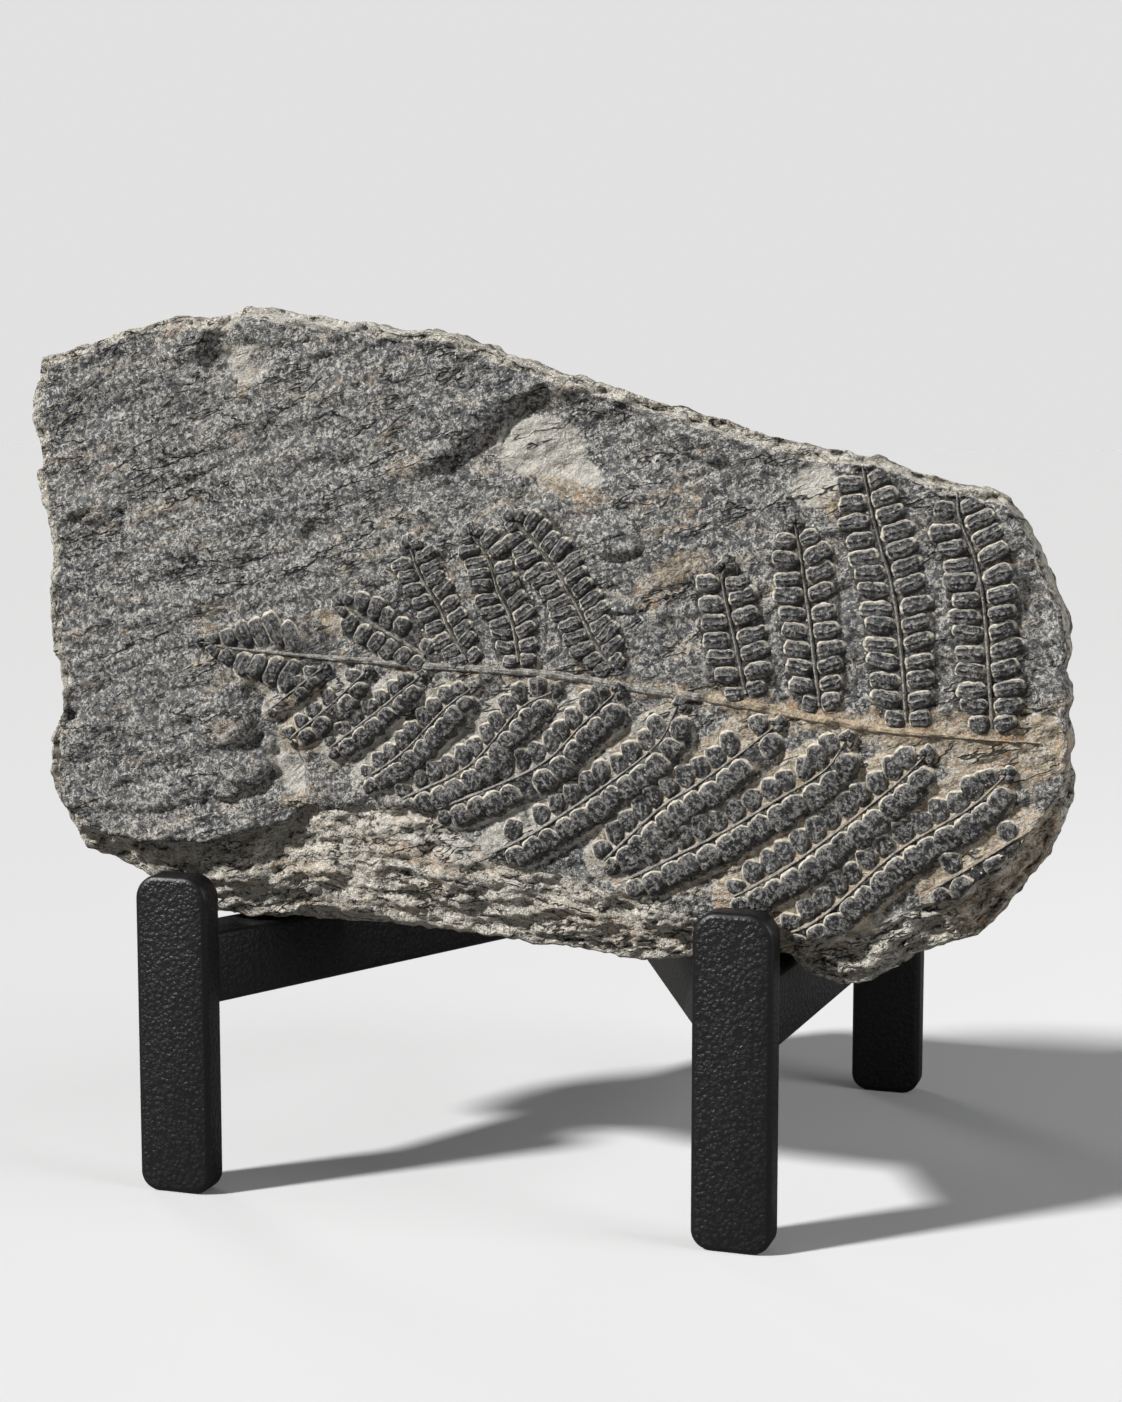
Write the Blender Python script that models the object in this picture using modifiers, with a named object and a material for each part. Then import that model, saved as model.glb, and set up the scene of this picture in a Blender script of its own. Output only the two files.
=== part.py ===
"""Fossil fern plate: a grey shale slab with a pressed fern frond, upright on a small black bar stand.

Lengths are in millimetres and become metres at the end. +Z is up, +X runs to the right of the slab's
face, and the face looks along -Y. The slab is one loft between four outlines, which are laid on upright
planes behind the two front posts. The outlines and the frond's axes are given as points (x, y) of the
1122 x 1402 view that shows the face, and view_point() turns them into millimetres on the slab.
"""

import math

import bmesh
import bpy
import numpy as np
from mathutils import Vector, noise

MM = 0.001
CLEARANCE = 0.3

# Stand
POST_WIDTH = 19.0
POST_DEPTH = 8.0
POST_HEIGHT = 79.0
POST_SPACING = 140.5
POST_TOP_RADIUS = 6.0
POST_FOOT_RADIUS = 4.6
POST_EDGE = 1.3
REAR_POST_X = 78.0
REAR_POST_Y = 144.0
RAIL_TOP = 64.0
RAIL_HEIGHT = 17.5
RAIL_WIDTH = 15.5
RAIL_ANGLE = math.radians(25.25)
RAIL_EDGE = 1.1

# Slab
FACE_Y = 10.4
RIM_TOP_Y = 15.0
RIM_FOOT_Y = 18.5
RIM_LEFT_Y = 12.5
RIM_RIGHT_Y = 18.0
SLAB_DEPTH_FOOT = 36.0
SLAB_DEPTH_TOP = 27.0
SLAB_DEPTH_RIGHT_LOSS = 7.0
BACK_INSET = 7.0
BED_THICKNESS = 2.4
FIRST_STEP = 0.32  # share of the depth between face and rim that the face's own edge drops at once
CELLS_ACROSS = 250
CELLS_UP = 156
CELLS_DEEP = 26
RIM_SHARE = 0.6  # share of the cells in depth that lie between face and rim
SLAB_TRIANGLES = 8300
SEED = Vector((3.7, 11.2, 5.1))

# View in which the outlines are given: its centre and focal length in its own pixels, its place and angles
VIEW_CENTRE = (561.0, 701.0)
VIEW_FOCAL = 2500.0
VIEW_PLACE = np.array((207.0, -536.0, 194.0))
VIEW_YAW = math.radians(18.3)
VIEW_PITCH = math.radians(6.9)

RIM_TOP = (
    (43, 357), (82, 346), (136, 327), (186, 317), (204, 319), (232, 315), (250, 307), (268, 306),
    (293, 312), (336, 319), (382, 327), (446, 331), (475, 341), (525, 360), (576, 375), (623, 389),
    (709, 417), (780, 439), (825, 450), (883, 456), (904, 468), (940, 477), (990, 488), (1008, 499),
)
RIM_RIGHT = (
    (978, 935), (1014, 896), (1046, 858), (1071, 808), (1075, 778), (1070, 758), (1075, 740), (1071, 717),
    (1074, 693), (1068, 672), (1071, 640), (1067, 610), (1055, 585), (1040, 545), (1026, 517), (1008, 499),
)
RIM_FOOT = (
    (71, 818), (88, 848), (120, 858), (150, 876), (222, 908), (252, 913), (292, 913), (305, 904),
    (332, 908), (392, 918), (431, 926), (486, 934), (543, 944), (590, 949), (644, 961), (690, 957),
    (740, 950), (784, 952), (804, 970), (843, 985), (860, 985), (896, 967), (916, 952), (949, 943),
    (978, 935),
)
RIM_LEFT = (
    (71, 818), (57, 793), (50, 768), (53, 737), (63, 711), (63, 686), (55, 647), (50, 596), (54, 551),
    (50, 530), (37, 480), (43, 462), (34, 423), (33, 405), (43, 357),
)
FACE_TOP = (
    (50, 366), (140, 336), (200, 330), (218, 342), (232, 326), (262, 320), (300, 324), (382, 340),
    (446, 347), (520, 374), (576, 391), (666, 419), (741, 442), (825, 466), (883, 470), (922, 490),
    (960, 496), (1000, 506),
)
FACE_RIGHT = (
    (955, 897), (1000, 862), (1036, 822), (1062, 786), (1066, 740), (1066, 690), (1063, 640), (1048, 588),
    (1032, 545), (1018, 522), (1000, 506),
)
FACE_FOOT = (
    (62, 800), (90, 826), (112, 838), (154, 841), (202, 842), (238, 832), (281, 824), (297, 807),
    (325, 805), (391, 806), (432, 812), (437, 822), (471, 839), (487, 857), (541, 871), (584, 881),
    (629, 895), (690, 915), (779, 941), (837, 935), (884, 920), (920, 906), (955, 897),
)
FACE_LEFT = (
    (62, 800), (60, 737), (69, 686), (62, 640), (57, 596), (61, 551), (57, 530), (45, 480), (50, 448),
    (42, 405), (50, 366),
)

# Frond: its stem, then each side leaf with its half width, from the tip of the frond towards the base
STEM = ((190, 642), (241, 651), (325, 658), (410, 665), (541, 674), (648, 691), (742, 705), (866, 727),
        (969, 738), (1040, 744))
STEM_HALF_WIDTH = 1.3
STEM_HEIGHT = 1.0
SIDE_LEAVES = (
    ("tip", 4.2, ((206, 645), (240, 650), (272, 652), (310, 656))),
    ("tip lobe", 3.2, ((274, 602), (286, 622), (300, 648))),
    ("upper 1", 5.0, ((345, 606), (372, 624), (400, 640), (424, 656))),
    ("upper 2", 5.2, ((411, 546), (420, 574), (437, 604), (449, 630), (466, 660))),
    ("upper 3", 5.6, ((474, 534), (490, 562), (497, 590), (511, 621), (518, 662))),
    ("upper 4", 6.4, ((516, 520), (535, 544), (559, 576), (573, 600), (590, 634), (610, 668))),
    ("upper 5", 8.0, ((726, 567), (722, 580), (728, 610), (736, 649), (745, 694))),
    ("upper 6", 7.6, ((795, 525), (800, 552), (804, 581), (811, 635), (819, 706))),
    ("upper 7", 8.4, ((862, 465), (870, 507), (879, 542), (892, 588), (900, 640), (906, 720))),
    ("upper 8", 8.2, ((956, 492), (960, 520), (974, 556), (983, 600), (987, 650), (992, 728))),
    ("lower 1", 3.4, ((325, 666), (300, 686), (268, 710))),
    ("lower 2", 4.4, ((366, 672), (330, 706), (288, 740))),
    ("lower 3", 4.6, ((420, 676), (384, 706), (330, 748))),
    ("lower 4", 4.8, ((472, 688), (444, 710), (404, 752), (366, 778))),
    ("lower 5", 5.2, ((552, 692), (519, 710), (471, 764), (404, 798))),
    ("lower 6", 5.6, ((616, 692), (581, 726), (538, 766), (440, 808))),
    ("lower 7", 5.8, ((677, 706), (659, 742), (610, 782), (541, 828), (494, 852))),
    ("lower 8", 6.2, ((775, 726), (734, 758), (696, 785), (660, 808), (604, 860))),
    ("lower 9", 6.4, ((846, 741), (825, 770), (778, 799), (719, 834), (630, 878))),
    ("lower 10", 6.6, ((925, 756), (896, 784), (837, 831), (787, 867), (734, 896))),
    ("lower 11", 6.6, ((1005, 776), (969, 808), (896, 852), (825, 914), (790, 933))),
    ("lower 12", 5.4, ((1046, 822), (1020, 836), (984, 858), (934, 888))),
)
LEAF_HEIGHT = 1.3
LOBE_PITCH = 4.1

# Hollows and lumps of the face: view point, half sizes in millimetres, turn in degrees, and height,
# which is below zero in a hollow
FACE_FORMS = (
    ("basin", (555, 440), (25.0, 11.0), -6.0, -2.4),
    ("basin floor", (548, 450), (13.0, 7.0), -10.0, -0.8),
    ("step above the basin", (462, 432), (13.0, 4.0), 38.0, 1.5),
    ("lens chip", (690, 444), (8.5, 3.2), -24.0, 1.5),
    ("chip beside the lens", (742, 470), (14.0, 6.0), -18.0, -1.2),
    ("pale chip", (815, 486), (6.0, 5.0), 30.0, -1.4),
    ("top notch", (213, 350), (4.6, 8.5), -8.0, -2.6),
    ("notch shoulder", (242, 366), (8.0, 7.0), 40.0, -1.4),
    ("upper left ledge", (85, 512), (9.0, 3.0), -14.0, 1.0),
    ("middle left ledge", (322, 522), (8.5, 2.4), -8.0, 1.0),
    ("island of stone", (616, 536), (10.0, 5.5), 14.0, 1.2),
    ("lower left lump", (222, 728), (9.0, 6.5), 20.0, 1.7),
    ("lower left knob", (240, 768), (7.0, 5.5), -10.0, 1.5),
    ("lower left hollow", (284, 766), (5.0, 9.0), 24.0, -1.8),
    ("dip under the tip", (262, 690), (6.0, 5.0), 20.0, -0.9),
    ("hollow beside upper 5", (684, 610), (5.0, 9.0), -6.0, -1.3),
    ("lower left face", (120, 770), (16.0, 9.0), 0.0, -1.0),
    ("right shoulder", (1030, 640), (6.0, 22.0), -8.0, -1.2),
)


def view_point(point, depth):
    """Returns the place (x, y, z) where the line of sight through a view point meets the plane y = depth."""
    sin_yaw = math.sin(VIEW_YAW)
    cos_yaw = math.cos(VIEW_YAW)
    ahead = np.array((-sin_yaw * math.cos(VIEW_PITCH), cos_yaw * math.cos(VIEW_PITCH), -math.sin(VIEW_PITCH)))
    right = np.array((cos_yaw, sin_yaw, 0.0))
    up = np.cross(right, ahead)
    sight = ahead * VIEW_FOCAL + right * (point[0] - VIEW_CENTRE[0]) - up * (point[1] - VIEW_CENTRE[1])
    return VIEW_PLACE + sight * (depth - VIEW_PLACE[1]) / sight[1]


def view_line(points, depth):
    """Returns a row of places on the plane y = depth, one for each view point."""
    return np.array([view_point(point, depth) for point in points])


def smooth_line(line, steps):
    """Returns a Catmull-Rom curve through the line's places, with the given steps on each stretch."""
    padded = np.vstack((2 * line[0] - line[1], line, 2 * line[-1] - line[-2]))
    share = np.linspace(0.0, 1.0, steps, endpoint=False)[:, None]
    stretches = []
    for a, b, c, d in zip(padded, padded[1:], padded[2:], padded[3:]):
        stretches.append(0.5 * (2 * b + (c - a) * share + (2 * a - 5 * b + 4 * c - d) * share**2
                                + (3 * b - a - 3 * c + d) * share**3))
    return np.vstack(stretches + [line[-1:]])


def along(line, share):
    """Returns the places at the given shares (0 to 1) of a line's length."""
    length = np.concatenate(((0.0,), np.cumsum(np.linalg.norm(np.diff(line, axis=0), axis=1))))
    return np.stack([np.interp(share * length[-1], length, line[:, axis]) for axis in range(3)], axis=-1)


def patch(top, right, foot, left, u, w):
    """Returns places on the Coons patch between four edge lines, for shares u across and w up."""
    u_col = u[:, None]
    w_col = w[:, None]
    ruled = (1 - w_col) * along(foot, u) + w_col * along(top, u)
    ruled += (1 - u_col) * along(left, w) + u_col * along(right, w)
    corners = ((1 - u_col) * (1 - w_col) * foot[0] + u_col * (1 - w_col) * foot[-1]
               + (1 - u_col) * w_col * top[0] + u_col * w_col * top[-1])
    return ruled - corners


def rough(places, size, seed_step=0, octaves=3):
    """Returns smooth noise of about -1 to 1 at each place, with lumps of the given size."""
    shift = SEED * (1.0 + seed_step)
    return np.array([noise.fractal(Vector(place) / size + shift, 1.0, 2.0, octaves) for place in places])


def smooth_step(value, low, high):
    """Returns 0 below low, 1 above high and a smooth rise between them."""
    share = np.clip((value - low) / (high - low), 0.0, 1.0)
    return share * share * (3 - 2 * share)


def face_forms(across, up):
    """Returns the height of the face's hollows and lumps at each place (across, up)."""
    height = np.zeros_like(across)
    for name, middle, (half_long, half_short), turn, rise in FACE_FORMS:
        centre = view_point(middle, FACE_Y)
        angle = math.radians(turn)
        dx = across - centre[0]
        dz = up - centre[2]
        along_form = (dx * math.cos(angle) + dz * math.sin(angle)) / half_long
        over_form = (dz * math.cos(angle) - dx * math.sin(angle)) / half_short
        distance = np.sqrt(along_form**2 + over_form**2)
        height += rise * (1.0 - smooth_step(distance, 0.55, 1.15))
    return height


def from_line(across, up, line):
    """Returns each place's distance from a line on the face, and how far along the line it lies."""
    nearest = np.full(across.shape, np.inf)
    run_at = np.zeros_like(across)
    run = 0.0
    for start, end in zip(line, line[1:]):
        step = end[[0, 2]] - start[[0, 2]]
        length = float(np.hypot(*step))
        share = np.clip(((across - start[0]) * step[0] + (up - start[2]) * step[1]) / length**2, 0.0, 1.0)
        distance = np.hypot(across - start[0] - share * step[0], up - start[2] - share * step[1])
        closer = distance < nearest
        nearest[closer] = distance[closer]
        run_at[closer] = run + share[closer] * length
        run += length
    return nearest, run_at, run


def frond_height(across, up):
    """Returns the height of the stem and the lobed side leaves above the face."""
    height = np.zeros_like(across)
    for name, half_width, points in SIDE_LEAVES:
        line = smooth_line(view_line(points, FACE_Y), 8)
        distance, run, length = from_line(across, up, line)
        taper = np.clip(np.minimum(run + 3.0, 0.5 * (length - run) + 5.5) / 8.0, 0.35, 1.0)
        lobe = 0.74 + 0.26 * np.abs(np.cos(math.pi * run / LOBE_PITCH))
        edge = half_width * taper * lobe
        groove = 0.45 * np.exp(-(distance / 0.8) ** 2)
        leaf = LEAF_HEIGHT * (1.0 - smooth_step(distance / edge, 0.86, 1.08)) - groove * (distance < edge)
        height = np.maximum(height, leaf)
    distance, run, length = from_line(across, up, smooth_line(view_line(STEM, FACE_Y), 8))
    stem = STEM_HEIGHT * (1.0 - smooth_step(distance / STEM_HALF_WIDTH, 0.5, 1.3))
    return np.maximum(height, stem)


def rail_footprint(across, deep, margin):
    """Returns True where a place lies over one of the rails that the slab rests on, or within the margin."""
    slant = math.tan(RAIL_ANGLE) * (deep - POST_DEPTH)
    half = RAIL_WIDTH / math.cos(RAIL_ANGLE) / 2 + margin
    over_left = np.abs(across + POST_SPACING / 2 - slant) < half
    over_right = np.abs(across - POST_SPACING / 2 + slant) < half
    lean = (REAR_POST_X - POST_SPACING / 2) / (REAR_POST_Y - POST_DEPTH)
    over_side = np.abs(across - POST_SPACING / 2 - lean * (deep - POST_DEPTH)) < half
    return over_left | over_right | over_side


def slab_outlines():
    """Returns the four outlines of the loft, front to back, each as its top, right, foot and left lines."""
    face = (view_line(FACE_TOP, FACE_Y), view_line(FACE_RIGHT, FACE_Y),
            view_line(FACE_FOOT, FACE_Y), view_line(FACE_LEFT, FACE_Y))
    rim = [view_line(RIM_TOP, RIM_TOP_Y), view_line(RIM_RIGHT, RIM_RIGHT_Y),
           view_line(RIM_FOOT, RIM_FOOT_Y), view_line(RIM_LEFT, RIM_LEFT_Y)]
    top, right, foot, left = rim
    right[-1] = top[-1]
    right[0] = foot[-1]
    left[0] = foot[0]
    left[-1] = top[0]
    middle = np.array((18.0, 0.0, 138.0))
    outlines = [face, tuple(rim)]
    for share, inset in ((0.6, 0.25), (1.0, 1.0)):
        level = []
        for line in rim:
            out = line - middle
            reach = np.hypot(out[:, 0], out[:, 2])
            place = line - out * (BACK_INSET * inset / reach)[:, None]
            rise = np.clip((line[:, 2] - 64.0) / 130.0, 0.0, 1.0)
            depth = SLAB_DEPTH_FOOT + (SLAB_DEPTH_TOP - SLAB_DEPTH_FOOT) * rise
            depth -= SLAB_DEPTH_RIGHT_LOSS * np.clip((line[:, 0] - 40.0) / 100.0, 0.0, 1.0)
            place[:, 1] = FACE_Y + depth * share
            low = place[:, 2] < 90.0
            settle = (line[:, 2] < 74.0) & (line[:, 0] < 84.0)
            place[:, 2] = np.where(settle & low, RAIL_TOP + CLEARANCE, place[:, 2])
            level.append(place)
        outlines.append(tuple(level))
    return outlines


def unit_block():
    """Returns a bmesh cube of side 1, cut into the cells of the loft. X is u, Y is depth and Z is w."""
    block = bmesh.new()
    bmesh.ops.create_cube(block, size=1.0)
    for axis, cells in ((0, CELLS_ACROSS), (2, CELLS_UP), (1, CELLS_DEEP)):
        edges = [edge for edge in block.edges if abs((edge.verts[0].co - edge.verts[1].co)[axis]) > 0.5]
        bmesh.ops.subdivide_edges(block, edges=edges, cuts=cells - 1, use_grid_fill=True)
    return block


def slab_places(unit):
    """Returns the slab's places in millimetres for the block's unit places."""
    u = unit[:, 0] + 0.5
    deep = unit[:, 1] + 0.5
    w = unit[:, 2] + 0.5
    on_side = (np.abs(unit[:, 0]) > 0.4999) | (np.abs(unit[:, 2]) > 0.4999)
    on_face = deep < 1e-4
    on_back = deep > 1 - 1e-4
    levels = [patch(*outline, u, w) for outline in slab_outlines()]

    # Sideways position: the ledges between face and rim take the larger share of the cells
    front = np.clip(deep / RIM_SHARE, 0.0, 1.0)[:, None]
    rear = np.clip((deep - RIM_SHARE) / (1 - RIM_SHARE), 0.0, 1.0)[:, None]
    near = levels[0] + (levels[1] - levels[0]) * front
    far_share = np.clip(rear * 2 - 1, 0.0, 1.0)
    mid_share = np.clip(rear * 2, 0.0, 1.0)
    far = levels[1] + (levels[2] - levels[1]) * mid_share + (levels[3] - levels[2]) * far_share
    places = np.where(deep[:, None] <= RIM_SHARE, near, far)

    # Broken beds: between face and rim the depth goes back in steps, and behind the rim the edge is ragged
    bands = front[:, 0] * 5.0 + 0.9 * rough(places * (1.0, 0.2, 1.0), 17.0, 1)
    stepped = (np.floor(bands) + smooth_step(bands - np.floor(bands), 0.62, 1.0)) / 5.0
    ledge = np.clip(stepped, 0.0, 1.0)
    blend = np.sin(np.pi * front[:, 0])
    drop = FIRST_STEP * smooth_step(front[:, 0], 0.0, 0.05) * (1.0 - front[:, 0])
    share_back = (ledge - front[:, 0]) * blend * 0.85 + drop
    places[:, 1] += np.where(on_side & (deep < RIM_SHARE), share_back * (levels[1] - levels[0])[:, 1], 0.0)
    outward = np.stack((np.sign(unit[:, 0]) * (np.abs(unit[:, 0]) > 0.4999),
                        np.zeros_like(u), np.sign(unit[:, 2]) * (np.abs(unit[:, 2]) > 0.4999)), axis=1)
    bed = np.floor(places[:, 1] / BED_THICKNESS)
    ragged = rough(np.stack((places[:, 0], bed * 31.0, places[:, 2]), axis=1), 13.0, 2)
    fade = np.sin(np.pi * np.clip(deep, 0.0, 1.0)) ** 0.5
    places += outward * (np.where(on_side, ragged * fade, 0.0) * 1.3)[:, None]

    # Relief of the face and of the back
    across, up = places[:, 0], places[:, 2]
    inner = np.minimum(np.minimum(u, 1 - u), np.minimum(w, 1 - w))
    swell = 1.1 * rough(places, 52.0, 3, 2) + 0.45 * rough(places, 9.0, 4, 3)
    relief = swell + face_forms(across, up) + frond_height(across, up)
    limit = np.where(up < POST_HEIGHT + 4.0, FACE_Y - POST_DEPTH - CLEARANCE, 4.0)
    relief = np.minimum(relief, limit)
    places[:, 1] -= np.where(on_face, relief * smooth_step(inner, 0.0, 0.012), 0.0)
    lumps = 2.8 * rough(places, 64.0, 5, 3)
    terraces = np.floor(lumps / BED_THICKNESS * 2.0 + 0.5) * BED_THICKNESS / 2.0
    bulge = (0.65 * lumps + 0.35 * terraces + 0.4 * rough(places, 16.0, 6, 2)) * smooth_step(inner, 0.0, 0.05)
    places[:, 1] += np.where(on_back, bulge, 0.0)

    # The foot clears the rails' tops, and the whole slab the posts' backs
    seat = rail_footprint(places[:, 0], places[:, 1], 3.0)
    places[:, 2] = np.where(seat, np.maximum(places[:, 2], RAIL_TOP + CLEARANCE), places[:, 2])
    low = places[:, 2] < POST_HEIGHT + 4.0
    places[:, 1] = np.where(low, np.maximum(places[:, 1], POST_DEPTH + CLEARANCE), places[:, 1])
    return places


def finish(name, red, green, blue, roughness, specular=0.5):
    """Returns a material of one colour."""
    material = bpy.data.materials.new(name)
    material.use_nodes = True
    shader = material.node_tree.nodes["Principled BSDF"]
    shader.inputs["Base Color"].default_value = (red, green, blue, 1.0)
    shader.inputs["Roughness"].default_value = roughness
    shader.inputs["Metallic"].default_value = 0.0
    shader.inputs["Specular IOR Level"].default_value = specular
    material.diffuse_color = (red, green, blue, 1.0)
    return material


def place_in(collection, name, mesh, material, parent):
    """Returns a new object of the collection that shows the mesh."""
    piece = bpy.data.objects.new(name, mesh)
    piece.parent = parent
    mesh.materials.append(material)
    collection.objects.link(piece)
    return piece


def make_slab(collection, material, parent):
    """Makes the shale slab with its frond, thinned to a light facetted solid."""
    block = unit_block()
    unit = np.array([vertex.co[:] for vertex in block.verts])
    for vertex, place in zip(block.verts, slab_places(unit) * MM):
        vertex.co = place
    bmesh.ops.triangulate(block, faces=block.faces[:])
    triangles = len(block.faces)
    mesh = bpy.data.meshes.new("fossil_slab")
    block.to_mesh(mesh)
    block.free()
    slab = place_in(collection, "fossil_slab", mesh, material, parent)
    thin = slab.modifiers.new("thin", "DECIMATE")
    thin.decimate_type = "COLLAPSE"
    thin.ratio = SLAB_TRIANGLES / triangles
    thin.use_collapse_triangulate = True
    mesh.shade_smooth()
    mesh.set_sharp_from_angle(angle=math.radians(35.0))
    return slab


def make_post(name, collection, material, parent, across, deep):
    """Makes one upright bar with round corners, standing at (across, deep), its front face at deep."""
    bar = bmesh.new()
    bmesh.ops.create_cube(bar, size=1.0)
    bmesh.ops.scale(bar, verts=bar.verts, vec=Vector((POST_WIDTH, POST_DEPTH, POST_HEIGHT)) * MM)
    for radius, side in ((POST_TOP_RADIUS, 1), (POST_FOOT_RADIUS, -1)):
        corners = [edge for edge in bar.edges
                   if all(vertex.co.z * side > 0.49 * POST_HEIGHT * MM for vertex in edge.verts)
                   and abs(edge.verts[0].co.y - edge.verts[1].co.y) > 0.5 * POST_DEPTH * MM]
        bmesh.ops.bevel(bar, geom=corners, offset=radius * MM, segments=5, profile=0.5, affect="EDGES")
    mesh = bpy.data.meshes.new(name)
    bar.to_mesh(mesh)
    bar.free()
    post = place_in(collection, name, mesh, material, parent)
    post.location = Vector((across, deep + POST_DEPTH / 2, POST_HEIGHT / 2)) * MM
    round_edges(post, POST_EDGE)
    return post


def round_edges(piece, width):
    """Rounds a bar's sharp edges."""
    bevel = piece.modifiers.new("edges", "BEVEL")
    bevel.width = width * MM
    bevel.segments = 2
    bevel.limit_method = "ANGLE"
    bevel.angle_limit = math.radians(40.0)
    piece.data.shade_smooth()
    piece.data.set_sharp_from_angle(angle=math.radians(50.0))


def make_rail(name, collection, material, parent, plan):
    """Makes one level bar from its plan, a row of corners (across, deep) in order round it."""
    outline = bpy.data.curves.new(name, "CURVE")
    outline.dimensions = "2D"
    outline.fill_mode = "BOTH"
    outline.extrude = RAIL_HEIGHT / 2 * MM
    spline = outline.splines.new("POLY")
    spline.points.add(len(plan) - 1)
    for point, corner in zip(spline.points, plan):
        point.co = (corner[0] * MM, corner[1] * MM, 0.0, 1.0)
    spline.use_cyclic_u = True
    flat = bpy.data.objects.new(name + "_outline", outline)
    bpy.context.scene.collection.objects.link(flat)
    mesh = bpy.data.meshes.new_from_object(flat.evaluated_get(bpy.context.evaluated_depsgraph_get()))
    bpy.data.objects.remove(flat)
    body = bmesh.new()
    body.from_mesh(mesh)
    bmesh.ops.remove_doubles(body, verts=body.verts, dist=0.00005)
    bmesh.ops.recalc_face_normals(body, faces=body.faces)
    body.to_mesh(mesh)
    body.free()
    mesh.name = name
    rail = place_in(collection, name, mesh, material, parent)
    rail.location.z = (RAIL_TOP - RAIL_HEIGHT / 2) * MM
    round_edges(rail, RAIL_EDGE)
    return rail


def beside_slanting_rail(deep, shift):
    """Returns how far across the right rail's middle line lies at a depth, moved to the right by shift."""
    return POST_SPACING / 2 - math.tan(RAIL_ANGLE) * (deep - POST_DEPTH) + shift


def slanting_plan(side):
    """Returns the plan of the rail from one front post to the middle of the stand's rear."""
    start = POST_DEPTH + CLEARANCE
    end = REAR_POST_Y + POST_DEPTH
    half = RAIL_WIDTH / math.cos(RAIL_ANGLE) / 2
    meet = POST_DEPTH + (POST_SPACING / 2 - half - CLEARANCE / 2) / math.tan(RAIL_ANGLE)
    corners = [(beside_slanting_rail(start, half), start), (beside_slanting_rail(end, half), end),
               (CLEARANCE / 2, end), (CLEARANCE / 2, meet), (beside_slanting_rail(start, -half), start)]
    return [(side * across, deep) for across, deep in corners]


def side_plan():
    """Returns the plan of the rail to the rear post, which is cut along the right rail's outer face."""
    start = POST_DEPTH + CLEARANCE
    end = REAR_POST_Y - CLEARANCE
    face = (RAIL_WIDTH / 2 + CLEARANCE) / math.cos(RAIL_ANGLE)
    left = REAR_POST_X - RAIL_WIDTH / 2
    near = POST_DEPTH + (POST_SPACING / 2 + face - left) / math.tan(RAIL_ANGLE)
    return [(beside_slanting_rail(start, face), start), (left + RAIL_WIDTH, end), (left, end), (left, near)]


def rear_plan():
    """Returns the plan of the rail from the meeting of the slanting rails to the rear post."""
    back = REAR_POST_Y + POST_DEPTH
    front = back - RAIL_WIDTH
    face = (RAIL_WIDTH / 2 + CLEARANCE) / math.cos(RAIL_ANGLE)
    right = REAR_POST_X - POST_WIDTH / 2 - CLEARANCE
    return [(beside_slanting_rail(front, face), front), (right, front), (right, back),
            (beside_slanting_rail(back, face), back)]


def stand_on_origin(parent, pieces):
    """Moves the whole object so that the middle of its box's floor is at the origin."""
    bpy.context.view_layer.update()
    graph = bpy.context.evaluated_depsgraph_get()
    corners = []
    for piece in pieces:
        mesh = piece.evaluated_get(graph).to_mesh()
        corners += [piece.matrix_world @ vertex.co for vertex in mesh.vertices]
    places = np.array(corners)
    low = places.min(axis=0)
    high = places.max(axis=0)
    parent.location = Vector((-(low[0] + high[0]) / 2, -(low[1] + high[1]) / 2, -low[2]))
    bpy.context.view_layer.update()


def main():
    """Builds the slab and its stand."""
    for leftover in list(bpy.data.objects):
        bpy.data.objects.remove(leftover)
    collection = bpy.data.collections.new("fossil_fern_plate")
    bpy.context.scene.collection.children.link(collection)
    parent = bpy.data.objects.new("fossil_fern_plate_centre", None)
    collection.objects.link(parent)

    shale = finish("grey shale", 0.115, 0.112, 0.105, 0.72)
    black = finish("black textured paint", 0.012, 0.012, 0.014, 0.42)
    front = POST_SPACING / 2
    pieces = [make_slab(collection, shale, parent)]
    for name, across, deep in (("left_post", -front, 0.0), ("right_post", front, 0.0),
                               ("rear_post", REAR_POST_X, REAR_POST_Y)):
        pieces.append(make_post(name, collection, black, parent, across, deep))
    for name, plan in (("left_rail", slanting_plan(-1)), ("right_rail", slanting_plan(1)),
                       ("side_rail", side_plan()), ("rear_rail", rear_plan())):
        pieces.append(make_rail(name, collection, black, parent, plan))
    stand_on_origin(parent, pieces)


main()
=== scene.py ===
"""Fossil fern plate: the looks of a grey shale slab with a pressed fern frond, and of its black bar stand.

Shapes are worked out in millimetres in the stand's own frame, whose origin lies on the floor midway
between the front faces of the two front posts: x to the right, y back, z up. FaceView turns points of the
1122 x 1402 view that shows the slab's face into places of that frame, and StandFrame turns places into the
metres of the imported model. The slab, the frond, the stand and the studio are a class each.
"""

from __future__ import annotations

import logging
import math
from dataclasses import dataclass, field
from enum import Enum

import bmesh
import bpy
import numpy as np
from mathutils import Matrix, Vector, noise
from mathutils.bvhtree import BVHTree

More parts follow.
